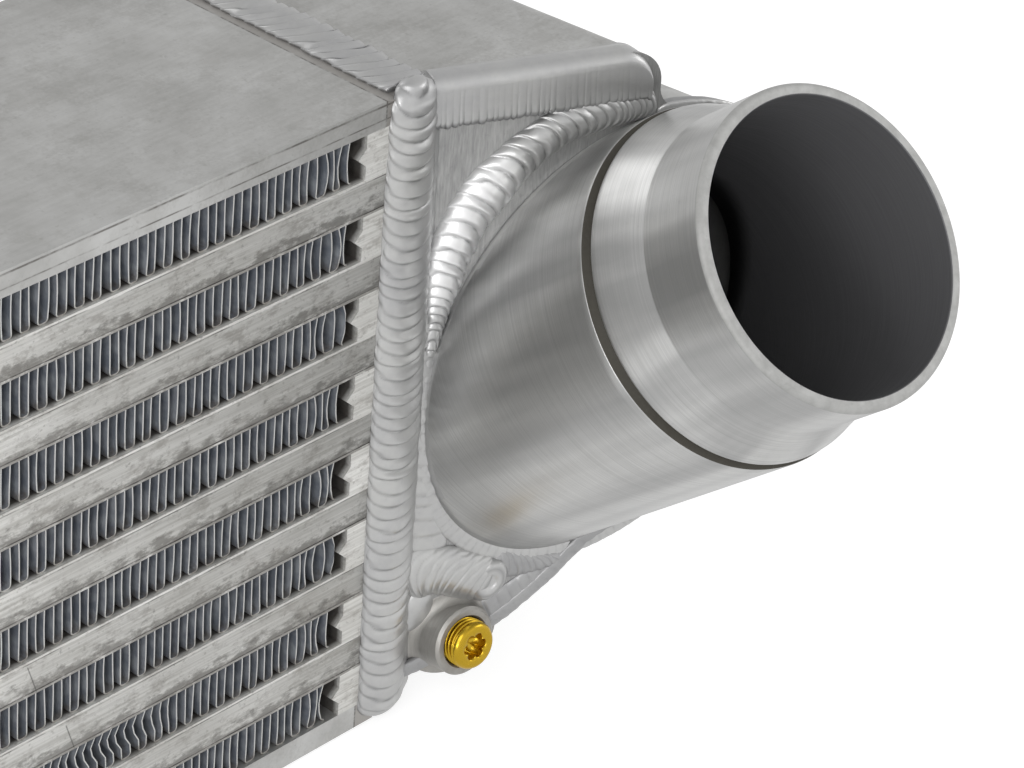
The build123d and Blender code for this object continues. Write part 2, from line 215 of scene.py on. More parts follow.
def add_surface(name, grid, finish, nodes=(), side=1, poles=True, scale=(1.0, 1.0),
                values=None, smooth=True):
    """A closed mesh from a grid of points in metres, one row per station and one column per place
    around, whose last column joins the first. poles closes both ends with a fan to the mean of the
    end row. The UV map holds (station, place) times scale. The signed volume, the sum over the
    triangles of a . (b x c), says whether the faces must be turned to point outwards."""
    grid = np.array(grid, float)
    rows, columns = grid.shape[:2]
    points = grid.reshape(-1, 3)
    points[:, 0] *= side
    index = np.arange(rows * columns).reshape(rows, columns)
    after = np.roll(index, -1, axis=1)
    quads = np.stack([index[:-1], index[1:], after[1:], after[:-1]], -1).reshape(-1, 4)
    row_at, column_at = (a.reshape(-1) for a in np.mgrid[0 : rows - 1, 0:columns])
    corner_u = np.stack([row_at, row_at + 1, row_at + 1, row_at], 1) * scale[0]
    corner_v = np.stack([column_at, column_at, column_at + 1, column_at + 1], 1) * scale[1]
    uv = np.stack([corner_u, corner_v], -1).reshape(-1, 2)
    faces = quads.tolist()
    triangles = quads[:, [0, 1, 2, 0, 2, 3]].reshape(-1, 3)
    held = {key: np.asarray(value, float).reshape(-1) for key, value in (values or {}).items()}
    if poles:
        places = np.arange(columns) * scale[1]
        for row, turn in ((0, 1), (rows - 1, -1)):
            middle = np.full(columns, len(points))
            points = np.vstack([points, points[index[row]].mean(0)])
            fan = np.stack([index[row], after[row], middle], 1)[:, ::turn]
            fan_uv = np.stack([np.full((columns, 3), row * scale[0]),
                               np.stack([places, places + scale[1], places], 1)], -1)
            faces += fan.tolist()
            triangles = np.vstack([triangles, fan])
            uv = np.vstack([uv, fan_uv[:, ::turn].reshape(-1, 2)])
            held = {key: np.append(v, v[index[row]].mean()) for key, v in held.items()}
    a, b, c = points[triangles].transpose(1, 0, 2)
    mesh = bpy.data.meshes.new(name)
    mesh.from_pydata(points, [], faces)
    layer = mesh.uv_layers.new(name="UVMap")
    layer.data.foreach_set("uv", np.ascontiguousarray(uv, dtype=np.float32).reshape(-1))
    point_values(mesh, held)
    mesh.polygons.foreach_set("use_smooth", [smooth] * len(mesh.polygons))
    if (a * np.cross(b, c)).sum() < 0:
        mesh.flip_normals()
    return finished(name, mesh, finish, nodes)


def bead(path, across, out, half_width, rise, pitch, depth, bow, crown, seed, slant=0.0, step=0.26,
         columns=34, sink=0.5, end_round=(3.0, 3.0), dirt=1.0):
    """A weld bead as rows of points round its section, with a painted shade value for each point.

    With t from -1 to 1 across the bead and s along it, the top lies at
    path + across * half_width * t + out * height, where height = rise * (1 - t^2)^crown plus the
    ripples. With phase = (s + bow * sqrt(1 - t^2) + slant * t) / pitch, warped by smooth noise, a
    ripple climbs steeply in the first part of each whole phase and falls slowly over the rest, so
    that it lies over the one before like a coin, with a crease where the next one starts.
    Where the pitch changes along the bead, s / pitch is the running sum of ds / pitch.
    The ends shrink by the quarter circle sqrt(1 - u^2). The underside is flat, sunk by sink."""
    drift, lip, hollow = 0.2, 0.3, 0.86
    s = distances(path) / MM
    paces, depth, half_width, rise = (
        np.broadcast_to(np.asarray(v, float), s.shape) for v in (pitch, depth, half_width, rise)
    )
    depth = depth[:, None]
    passed = np.concatenate([[0], np.cumsum(np.diff(s) * 2 / (paces[1:] + paces[:-1]))])
    ends = (np.clip(1 - far / reach, 0, 1) for far, reach in zip((s, s[-1] - s), end_round))
    taper = np.prod([np.sqrt(np.clip(1 - end**2, 0.0009, 1)) for end in ends], axis=0)
    half_width = half_width * (1 + 0.035 * wobble(s, 17, seed)) * taper
    rise = rise * (1 + 0.06 * wobble(s, 11, seed + 1)) * taper
    t = np.sin(np.linspace(-pi / 2, pi / 2, columns))
    hump = np.clip(1 - t**2, 0, 1)
    phase = passed[:, None] + (bow * np.sqrt(hump) + slant * t) / paces[:, None]
    phase = phase + drift * wobble(s, 5 * paces.mean(), seed + 2)[:, None]
    part, coin = np.mod(phase, 1), np.floor(phase)
    fall = np.clip((part - step) / (1 - step), 0, 1)
    ripple = rise_between(part, 0, step) * (1 - fall**1.6)
    strength = depth * (1 + 0.3 * wobble(coin * 7.3, 3.1, seed + 3)) * hump**0.35
    height = rise[:, None] * hump**crown + strength * (ripple - 0.6) * taper[:, None]
    reach = t * (half_width[:, None] + lip * depth * (ripple - 0.5))
    under_reach = np.linspace(1, -1, 5) * half_width[:, None]
    under_height = -sink * taper[:, None] * np.ones(5)
    reach = np.concatenate([reach, under_reach], 1)[..., None] * MM
    height = np.concatenate([height, under_height], 1)[..., None] * MM
    points = path[:, None] + across[:, None] * reach + out[:, None] * height
    # Painted shade: the creases between ripples, the toes along both edges and the hidden underside
    # get a value that darkens their colour, scaled by darkening.
    uneven = (0.55 + 0.45 * wobble(coin * 3.7 + t * 1.3, 2.3, seed + 4)).clip(0.1, 1)
    crease_shade = np.maximum(1 - part / step, (part - hollow) / (1 - hollow)).clip(0, 1) ** 1.5
    crease_shade = crease_shade * hump**0.25 * uneven * dirt
    toe = np.clip(1 - hump * 7, 0, 1) * min(dirt, 0.7)
    shade = np.maximum(crease_shade, 0.8 * toe).clip(0, 1.4)
    return points, np.concatenate([shade, np.ones((len(s), 5))], 1)


def add_bead(name, line, side=1, nodes=(), finish="Weld metal", painted_highlight=None, **form):
    """One bead along line = (points, across, out), as a piece of its own, with a share of painted
    highlight for each station where its metal is painted brighter."""
    grid, crease_shade = bead(*line, **form)
    values = {"crease_shade": crease_shade}
    if painted_highlight is not None:
        values["painted_highlight"] = painted_highlight[:, None] * np.ones_like(crease_shade)
    scale = (np.linalg.norm(line[0][1] - line[0][0]), 0.0004)
    add_surface(name, grid, finish, nodes, side, scale=scale, values=values)


# Materials


class Nodes:
    """A small helper that adds nodes to a tree and links them."""

    def __init__(self, tree):
        self.tree = tree
        self.tree.nodes.clear()

    def feed(self, inputs, values):
        """Sets each input to its value, or links it where the value is another node's socket."""
        for key, value in values.items():
            if isinstance(value, bpy.types.NodeSocket):
                self.tree.links.new(value, inputs[key])
            else:
                inputs[key].default_value = value

    def add(self, kind, inputs=None, **settings):
        """A node with its settings and inputs."""
        node = self.tree.nodes.new(kind)
        for key, value in settings.items():
            setattr(node, key, value)
        self.feed(node.inputs, inputs or {})
        return node

    def group(self, name, inputs):
        """The outputs of a node group."""
        tree = bpy.data.node_groups[name]
        return self.add("ShaderNodeGroup", inputs, node_tree=tree).outputs

    def place(self, kind="Object"):
        """Texture coordinates."""
        return self.add("ShaderNodeTexCoord").outputs[kind]

    def attribute(self, name):
        """A value that the mesh keeps for each point."""
        return self.add("ShaderNodeAttribute", attribute_name=name).outputs["Fac"]

    def axes(self, vector):
        """The parts of a vector, X, Y and Z."""
        return self.add("ShaderNodeSeparateXYZ", {"Vector": vector}).outputs

    def math(self, operation, first, second=0.0, third=0.0):
        """The result of a Math node."""
        inputs = {0: first, 1: second, 2: third}
        return self.add("ShaderNodeMath", inputs, operation=operation).outputs[0]

    def noise(self, vector, scale, detail=4.0, roughness=0.55):
        """The value of a Noise texture."""
        inputs = {"Vector": vector, "Scale": scale, "Detail": detail, "Roughness": roughness}
        return self.add("ShaderNodeTexNoise", inputs).outputs["Fac"]

    def stretch(self, vector, scale):
        """The vector stretched, for patches that run one way."""
        return self.add("ShaderNodeMapping", {"Vector": vector, "Scale": scale}).outputs[0]

    def between(self, value, low, high, start=0.0, end=1.0):
        """A value taken from low..high to start..end and held there."""
        inputs = {"Value": value, "From Min": low, "From Max": high, "To Min": start, "To Max": end}
        return self.add("ShaderNodeMapRange", inputs, clamp=True).outputs[0]

    def fade(self, value, low, high):
        """1 below low and 0 above high."""
        return self.between(value, low, high, 1.0, 0.0)

    def stripe(self, value, middle, inner, outer):
        """1 within inner of the middle and 0 further off than outer."""
        off = self.math("ABSOLUTE", self.math("SUBTRACT", value, middle))
        return self.fade(off, inner, outer)

    def mix(self, factor, first, second):
        """Two colours mixed."""
        node = self.add("ShaderNodeMix", data_type="RGBA")
        first, second = (
            c if isinstance(c, bpy.types.NodeSocket) else (*c[:3], 1) for c in (first, second)
        )
        self.feed(node.inputs, {0: factor, 6: first, 7: second})
        return node.outputs[2]

    def tint(self, shade, mask, strength, tone):
        """The shade with another tone laid over it where the mask is high."""
        return self.mix(self.math("MULTIPLY", mask, strength), shade, tone)


def shader_group(name, inputs, outputs):
    """A node group with a vector input for each default of None and a float input for the others,
    and float outputs: its helper, its inputs and its outputs."""
    tree = bpy.data.node_groups.new(name, "ShaderNodeTree")
    for key, value in inputs.items():
        kind = "NodeSocketVector" if value is None else "NodeSocketFloat"
        socket = tree.interface.new_socket(key, in_out="INPUT", socket_type=kind)
        if value is not None:
            socket.default_value = value
    for key in outputs:
        tree.interface.new_socket(key, in_out="OUTPUT", socket_type="NodeSocketFloat")
    nodes = Nodes(tree)
    return nodes, nodes.add("NodeGroupInput").outputs, nodes.add("NodeGroupOutput").inputs


def make_grain_group():
    """Grain: fine lines along one direction, soft clouds and specks, for worked metal."""
    inputs = {"Vector": None, "Grain": None, "Cloud size": 40.0, "Specks": 0.3}
    n, given, result = shader_group(
        "Worked metal", inputs, ("Lines", "Clouds", "Specks", "Height")
    )
    lines = n.noise(given["Grain"], 1.0, 3.0, 0.6)
    clouds = n.noise(given["Vector"], given["Cloud size"], 5.0, 0.6)
    speck = n.between(n.noise(given["Vector"], 900.0, 2.0, 0.5), 0.66, 0.74)
    speck = n.math("MULTIPLY", speck, given["Specks"])
    height = n.math("SUBTRACT", n.math("MULTIPLY", lines, 0.6), speck)
    n.feed(result, {"Lines": lines, "Clouds": clouds, "Specks": speck, "Height": height})


def make_stain_group():
    """Stain: broken patches whose edges are frayed by a second, finer noise."""
    n, given, result = shader_group(
        "Stain", {"Vector": None, "Size": 60.0, "Amount": 0.5}, ("Mask",)
    )
    broad = n.noise(given["Vector"], given["Size"], 6.0, 0.7)
    fine = n.noise(given["Vector"], 1500.0, 2.0, 0.5)
    both = n.math("ADD", broad, n.math("MULTIPLY", fine, 0.25))
    edge = n.math("SUBTRACT", 1.0, n.math("MULTIPLY", given["Amount"], 0.45))
    n.feed(result, {"Mask": n.between(both, edge, n.math("ADD", edge, 0.14))})


def make_layer_group():
    """Layers: by the height in the core's pitch, thin broken lines where sheets and bars meet, a
    smear that fades upwards from each bar's lower edge, a patchy darker band at the bottom of each
    fin row, and painted shade on what lies inside the core, behind its faces. A few leaning cracks
    cross the lines."""
    cracks = ((69.9, 53.5, 3.4), (79.5, 35.9, 3.2), (142.6, 34.4, 0.7))
    n, given, result = shader_group(
        "Core layers", {"Vector": None}, ("Joints", "Smear", "Fin dirt", "Inside")
    )
    vector = given["Vector"]
    first, first_top = (c[2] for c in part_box("charge_bars_7"))
    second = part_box("charge_bars_6")[0][2]
    sheet, bar = 0.6 * MM, first_top - first
    split = n.axes(vector)
    front = core_high[1] - 0.4 * MM
    # Painted shade: everything deeper than the core's front face is marked to be darkened.
    inside = n.fade(n.math("ABSOLUTE", split["Y"]), front - 1.2 * MM, front)
    height = n.math("ADD", split["Z"], second - 2 * first + sheet)
    height = n.math("MODULO", height, second - first)
    low, high = (n.stripe(height, at, 0.05 * MM, 0.2 * MM) for at in (sheet, sheet + bar))
    broken = n.between(n.noise(n.stretch(vector, (1, 1, 5)), 90.0, 4.0, 0.7), 0.42, 0.6)
    joints = n.math("MULTIPLY", n.math("MAXIMUM", low, high), broken)
    for x, z, half_height in cracks:
        up = n.math("SUBTRACT", split["Z"], z * MM)
        across = n.math("MULTIPLY_ADD", up, 0.35, n.math("SUBTRACT", split["X"], x * MM))
        crack = n.between(n.math("ABSOLUTE", across), 0.07 * MM, 0.2 * MM, 0.8, 0.0)
        ends = n.fade(n.math("ABSOLUTE", up), (half_height - 0.4) * MM, half_height * MM)
        joints = n.math("MAXIMUM", joints, n.math("MULTIPLY", crack, ends))
    cloud = n.noise(n.stretch(vector, (1, 1, 2.2)), 210.0, 5.0, 0.7)
    rise = n.between(height, sheet, sheet + bar * 0.8, 0.22, -0.12)
    smear = n.between(n.math("ADD", cloud, rise), 0.56, 0.7)
    # Darker towards the bottom of each fin row, in patches.
    floor = sheet * 2 + bar
    dirt = n.between(height, floor, floor + 3.2 * MM, 0.25, -0.2)
    dirt = n.between(n.math("ADD", n.noise(vector, 420.0, 4.0, 0.65), dirt), 0.5, 0.75)
    n.feed(result, {"Joints": joints, "Smear": smear, "Fin dirt": dirt, "Inside": inside})


def make_plate_group():
    """Plate edges: the brownish bevels at the ends of the top plate, and broken dark lines along
    its front face, one near the top and one above the fins, and where the bevels start."""
    n, given, result = shader_group("Plate edges", {"Vector": None}, ("Bevel", "Lines"))
    split = n.axes(given["Vector"])
    along, end = n.math("ABSOLUTE", split["X"]), top_high[0]
    outer = n.fade(along, end - 0.3 * MM, end)
    line = n.stripe(along, bevel_start, 0.1 * MM, 0.3 * MM)
    face = n.fade(split["Y"], top_low[1] + 0.05 * MM, top_low[1] + 0.3 * MM)
    face = n.math("MULTIPLY", face, outer)
    for down, wide in ((0.75, 0.3), (3.7, 0.22)):
        stripe = n.stripe(split["Z"], top_high[2] - down * MM, wide * 0.4 * MM, wide * MM)
        line = n.math("MAXIMUM", line, n.math("MULTIPLY", stripe, face))
    broken = n.noise(n.stretch(given["Vector"], (1, 3, 3)), 110.0, 4.0, 0.7)
    inner = n.between(along, bevel_start, bevel_start + 0.3 * MM)
    n.feed(result, {
        "Bevel": n.math("MULTIPLY", inner, outer),
        "Lines": n.math("MULTIPLY", line, n.between(broken, 0.36, 0.58)),
    })


def new_material(name):
    """A material's helper and the inputs of its shader, already linked to its output."""
    material = bpy.data.materials.new(name)
    material.use_nodes = True
    nodes = Nodes(material.node_tree)
    shader = nodes.add("ShaderNodeBsdfPrincipled")
    nodes.add("ShaderNodeOutputMaterial", {"Surface": shader.outputs[0]})
    return nodes, shader.inputs


def metal(name, base, rough, dark, lines, size, turn=0.0, cloud=45.0, contrast=0.5, specks=0.3,
          bump=0.15, crease_shade=None, stains=(), metallic=0.8, spread=0.12, reflection_streaks=None,
          overlays=None):
    """A worked metal. Its object coordinates are turned about X and divided by the given sizes in
    metres, so that the grain runs one way. Lines, clouds, specks, painted reflection streaks =
    (size, strength, tone), stains = (stretch, size, amount, strength, tone) and overlays = (group,
    its outputs with strength and tone) shade its colour. A painted highlight value lightens it and
    a painted crease shade value darkens the folds and toes of a weld."""
    n, shader = new_material(name)
    place = n.place()

    def grain_space(scale):
        inputs = {"Vector": place, "Rotation": (turn, 0, 0), "Scale": scale}
        return n.add("ShaderNodeMapping", inputs, vector_type="TEXTURE").outputs[0]

    grain = n.group("Worked metal", {
        "Vector": place, "Grain": grain_space(size), "Cloud size": cloud, "Specks": specks
    })
    tone = n.math("ADD", n.math("MULTIPLY", grain["Lines"], lines),
                  n.math("MULTIPLY", grain["Clouds"], 1 - lines))
    tone = n.between(tone, 0.36, 0.64)
    shade = n.tint(tuple(base), tone, contrast, dark)
    shade = n.mix(grain["Specks"], shade, dark)
    # Painted reflection: soft darker bands along the grain stand in for the streaky reflections of
    # turned metal.
    if reflection_streaks:
        scale, strength, over = reflection_streaks
        soft = n.between(n.noise(grain_space(scale), 1.0, 2.0, 0.45), 0.36, 0.64)
        shade = n.tint(shade, soft, strength, over)
    for stretch, scale, amount, strength, over in stains:
        inputs = {"Vector": n.stretch(place, stretch), "Size": scale, "Amount": amount}
        shade = n.tint(shade, n.group("Stain", inputs)["Mask"], strength, over)
    if overlays:
        group = n.group(overlays[0], {"Vector": place})
        for output, strength, over in overlays[1:]:
            shade = n.tint(shade, group[output], strength, over)
    # Painted light from the mesh's values: the painted highlight lightens the colour towards pale
    # grey, and the crease shade darkens folds and toes almost to black.
    if crease_shade:
        shade = n.mix(n.attribute("painted_highlight"), shade, (0.88, 0.88, 0.88))
        shade = n.tint(shade, n.attribute("crease_shade"), crease_shade, (0.08, 0.08, 0.085))
    relief = {"Height": grain["Height"], "Strength": bump, "Distance": 0.0001}
    n.feed(shader, {
        "Base Color": shade,
        "Roughness": n.between(tone, 0.0, 1.0, rough - spread / 2, rough + spread / 2),
        "Metallic": metallic,
        "Normal": n.add("ShaderNodeBump", relief).outputs[0],
    })


def make_fin_material(look):
    """Folded fins: pale cut edges and darker faces, by the attribute for depth from an edge."""
    n, shader = new_material("Fin strip")
    place = n.place()
    clouds = n.noise(place, 250.0, 4.0)
    face = n.mix(n.between(clouds, 0.4, 0.65), tuple(look.fin), (0.36, 0.38, 0.41))
    shade = n.mix(n.fade(n.attribute("depth"), 0.0, 0.25), face, tuple(look.fin_edge))
    # The fins are tinted dark brown towards the bottom of each fin row, in patches.
    dirt = n.group("Core layers", {"Vector": place})["Fin dirt"]
    n.feed(shader, {
        "Base Color": n.tint(shade, dirt, 0.6, (0.13, 0.105, 0.08)),
        "Roughness": n.between(clouds, 0.3, 0.7, 0.38, 0.55),
        "Metallic": 0.35,
    })


def make_materials():
    """Every finish of the object, by name."""
    look = bpy.context.scene.intercooler_finishes
    for make_group in (make_grain_group, make_stain_group, make_layer_group, make_plate_group):
        make_group()
    even, fine, spigot_turn = (1, 1, 1), (0.002, 0.002, 0.002), radians(50.4)
    brazing = ((0.5, 1, 1), 260.0, 0.8, 0.55, tuple(look.bar_stain))
    soot = (even, 700.0, 0.62, 0.5, (0.16, 0.15, 0.14))
    cloudy = (even, 22.0, 0.9, 0.18, (0.26, 0.255, 0.24))
    mottle = (even, 130.0, 0.85, 0.2, (0.3, 0.29, 0.27))
    plate_edges = ("Plate edges", ("Bevel", 0.6, (0.33, 0.305, 0.28)),
                   ("Lines", 0.8, (0.1, 0.09, 0.08)))
    # Core layers on the bar faces: a smear, dark joints, and painted shade inside the core.
    core_layers = ("Core layers", ("Smear", 0.72, (0.19, 0.18, 0.165)),
                   ("Joints", 0.8, (0.04, 0.037, 0.033)), ("Inside", 0.9, (0.06, 0.052, 0.045)))
    metal("Mill finish", look.plate, 0.44, (0.32, 0.315, 0.3), 0.25, (0.012, 0.0012, 0.012),
          cloud=75, bump=0.06, stains=(cloudy, mottle), overlays=plate_edges)
    metal("Brushed wall", look.wall, 0.44, (0.25, 0.25, 0.25), 0.75, (0.00035, 0.0035, 0.0035),
          radians(25), contrast=0.6, bump=0.2)
    metal("Bar face", look.bar, 0.5, (0.46, 0.45, 0.42), 0.6, (0.03, 0.0006, 0.0006),
          contrast=0.8, stains=(brazing, soot), bump=0.3, metallic=0.5, specks=0.7,
          overlays=core_layers)
    metal("Weld metal", look.weld, 0.36, (0.42, 0.42, 0.43), 0.3, fine,
          contrast=0.65, crease_shade=0.75, bump=0.08, spread=0.14, metallic=0.75)
    # Painted shade: a darker, slightly rougher copy of the weld metal, for the rim bead and the
    # beads under the spigot.
    metal("Painted-shade weld", (0.4, 0.4, 0.4), 0.42, (0.28, 0.28, 0.29), 0.3, fine,
          contrast=0.6, crease_shade=0.6, bump=0.1, spread=0.14, metallic=0.7)
    metal("Mouth rim", (0.46, 0.46, 0.45), 0.66, (0.3, 0.3, 0.29), 0.3, fine,
          cloud=400, contrast=0.4, bump=0.1, metallic=0.6)
    # The turned spigot, with painted reflection streaks.
    metal("Turned spigot", look.turned, 0.35, (0.36, 0.36, 0.355), 0.7, (0.05, 0.05, 0.00018),
          spigot_turn, specks=0.15, bump=0.08, metallic=0.9,
          reflection_streaks=((0.009, 0.009, 0.12), 0.6, (0.3, 0.3, 0.3)))
    # Painted shade: the bore, the same turned metal, made near black.
    metal("Painted-shade bore", look.bore, 0.45, (0.11, 0.11, 0.115), 0.7, (0.02, 0.02, 0.0002),
          spigot_turn, contrast=0.6, specks=0.1, bump=0.3, metallic=0.3)
    # Painted shade: the clip groove made near-black brown.
    metal("Painted-shade groove", (0.05, 0.045, 0.035), 0.6, (0.09, 0.085, 0.07), 0.5,
          (0.001, 0.001, 0.001), contrast=0.6, bump=0.3, metallic=0.3)
    metal("Turned boss", (0.44, 0.43, 0.41), 0.5, (0.26, 0.245, 0.22), 0.4,
          (0.004, 0.0004, 0.004), contrast=0.6, bump=0.1)
    metal("Gold plug", look.brass, 0.24, (0.6, 0.38, 0.03), 0.5, fine,
          contrast=0.3, specks=0.05, bump=0.03, metallic=1.0)
    make_fin_material(look)


# The core


def fold_line(sizes, span, height, seed):
    """The middle line of a folded strip as x and z, from the left and the strip's underside. Legs
    are straight and each fold is a flat with two quarter circles. The legs stand scattered by
    seeded noise and lean a little one way and the other."""
    waves = round(span / sizes.fin_wave)
    half = span / waves / 2
    radius = sizes.fold_radius
    low, high = sizes.fin_metal / 2, height - sizes.fin_metal / 2
    bend = np.linspace(0, pi / 2, 4)
    wide, narrow = radius * (1 - np.sin(bend)), radius * (1 - np.cos(bend))
    up = np.linspace(low + radius, high - radius, 5)[1:-1]
    rng = np.random.default_rng(seed)
    legs = []
    for leg in range(2 * waves):
        place = (leg + 0.5) * half + rng.normal(0, sizes.fin_scatter * 0.45)
        lean = rng.normal(0, sizes.fin_scatter * 0.5)
        foot = np.stack([place - wide, low + narrow], 1)
        head = np.stack([place + narrow, high - wide], 1)
        line = np.vstack([foot, np.stack([np.full(3, place), up], 1), head])
        line[:, 0] += lean * (line[:, 1] / height - 0.5) * 2
        if leg % 2:
            line[:, 1] = height - line[:, 1]
        legs.append(line)
    return np.concatenate(legs).T


def knocked(x, z, depth, height, sizes, row):
    """How far a fin is pushed along the row: the last legs bow outwards at both ends, and in the
    knocked stretch of one row the legs lie in an S, (sin of twice the height) fading with depth."""
    knocked_row, end_from, end_to = 7, 0.131, 0.149
    share = z / height
    end = np.maximum(rise_between(x, end_from, end_to), rise_between(-x, end_from, end_to))
    shift = 0.0011 * end * np.sin(pi * share) * np.sin(2.3 * x / MM + 2 * row)
    shift = shift + 0.00025 * wobble(x / MM, 23, 40 + row) * np.sin(pi * share)
    if row == knocked_row:
        stretch = np.exp(-(((x - sizes.knock_place) / sizes.knock_reach) ** 4))
        shift = shift + sizes.knock_size * stretch * np.sin(2 * pi * share + 0.5) * 0.75
    return shift * np.exp(-depth / (9 * MM))


class INTERCOOLER_OT_fins(bpy.types.Operator):
    """Adds the eight folded fins, with rounded folds and the knocks that they took"""

    bl_idname = "intercooler.fins"
    bl_label = "Folded fins"

    def execute(self, context):
        sizes = context.scene.intercooler_core
        for row, (low, high) in enumerate(row_boxes, start=1):
            span, deep, height = (end - start for start, end in zip(low, high))
            x, z = fold_line(sizes, span, height, sizes.seed + row)
            line = np.stack([x + low[0], z], 1)
            tangent = unit(np.gradient(line, axis=0))
            normal = np.stack([-tangent[:, 1], tangent[:, 0]], 1) * sizes.fin_metal / 2
            loop = np.vstack([line + normal, (line - normal)[::-1]])
            middle, share = np.vstack([line, line[::-1]]).T
            depths = np.array([0, 1.2, 5.0, deep / MM]) * MM
            grid = np.empty((len(depths), len(loop), 3))
            for station, depth in zip(grid, depths):
                station[:, 0] = loop[:, 0] + knocked(middle, share, depth, height, sizes, row)
                station[:, 1] = low[1] + depth
                station[:, 2] = low[2] + loop[:, 1]
            grid[..., 0] = np.clip(grid[..., 0], low[0], high[0])
            self.add_fin(grid, depths, row)
        return {"FINISHED"}

    def add_fin(self, grid, depths, row):
        """A fin from its section at a few depths: strips between the depths, and the two cut edges
        from points of their own, each point of the upper line joined to its partner on the lower
        one."""
        rows, around = grid.shape[:2]
        index = np.arange(rows * around).reshape(rows, around)
        turned = np.roll(index, -1, axis=1)
        sides = np.stack([index[:-1], turned[:-1], turned[1:], index[1:]], -1).reshape(-1, 4)
        upper = np.arange(around // 2)
        lower = around - 1 - upper
        front = np.stack([upper[:-1], lower[:-1], lower[1:], upper[1:]], 1) + rows * around
        back = front[:, ::-1] + around
        points = np.vstack([grid.reshape(-1, 3), grid[[0, -1]].reshape(-1, 3)])
        depth = np.maximum(np.minimum(depths, depths[-1] - depths) / MM, 0.3)
        mesh = bpy.data.meshes.new(f"fin_{row}")
        mesh.from_pydata(points, [], np.vstack([sides, front, back]).tolist())
        point_values(mesh, {"depth": np.append(np.repeat(depth, around), np.zeros(2 * around))})
        mesh.polygons.foreach_set("use_smooth", [True] * len(sides) + [False] * (2 * len(front)))
        finished(f"folded_fin_{row}", mesh, "Fin strip", [f"cooling_fin_{row}"])


def extruded(name, outline, start, end, axis, finish, nodes, smooth=False):
    """A bar: a closed outline in two axes carried straight along the third."""
    outline = np.asarray(outline, float)
    rows = [np.insert(outline, axis, place, axis=1) for place in (start, end)]
    add_surface(name, rows, finish, nodes, smooth=smooth)


def rounded_box(low, high, radius):
    """A rectangle's outline with round corners, as points in order."""
    points = []
    for turn in (0, 90, 180, 270):
        x = high[0] - radius if turn in (0, 270) else low[0] + radius
        y = high[1] - radius if turn < 180 else low[1] + radius
        for angle in np.radians(np.linspace(turn, turn + 90, 4)):
            points.append((x + radius * cos(angle), y + radius * sin(angle)))
    return points


NODE_FINISHES = (
    (("parting",), "Bar face"),
    (("plate", "sheet"), "Mill finish"),
    (("wall",), "Brushed wall"),
    (("turbulator",), "Fin strip"),
    (("spigot", "boss"), "Turned boss"),
    (("weld",), "Weld metal"),
    (("",), "Bar face"),
)


class INTERCOOLER_OT_plates(bpy.types.Operator):
    """Gives the core its top plate with bevelled ends, and finishes its bars and sheets"""

    bl_idname = "intercooler.plates"
    bl_label = "Plates and bars"

    def execute(self, context):
        sizes = context.scene.intercooler_core
        end, lowered = top_high[0], top_high[2] - sizes.plate_bevel_drop
        half = [(bevel_start, top_high[2]), (bevel_start + sizes.plate_bevel, lowered),
                (end, lowered), (end, top_low[2])]
        outline = half + [(-x, z) for x, z in reversed(half)]
        extruded("top_plate", outline, top_low[1], top_high[1], 1, "Mill finish",
                 ["core_top_plate"])
        for name, obj in frame["nodes"].items():
            finish = next(f for words, f in NODE_FINISHES if any(word in name for word in words))
            for slot in obj.material_slots:
                slot.material = bpy.data.materials[finish]
        bar_width = 8 * MM
        for layer in range(1, 8):
            low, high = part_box(f"charge_bars_{layer}")
            for place, y in (("front", low[1]), ("back", high[1] - bar_width)):
                outline = rounded_box((y, low[2]), (y + bar_width, high[2]), sizes.bar_round)
                nodes = [f"charge_bars_{layer}"] if place == "front" else []
                extruded(f"bar_{place}_{layer}", outline, low[0], high[0], 0, "Bar face",
                         nodes, smooth=True)
        return {"FINISHED"}


# Tank: the front wall's plane and the lines of the welds on it


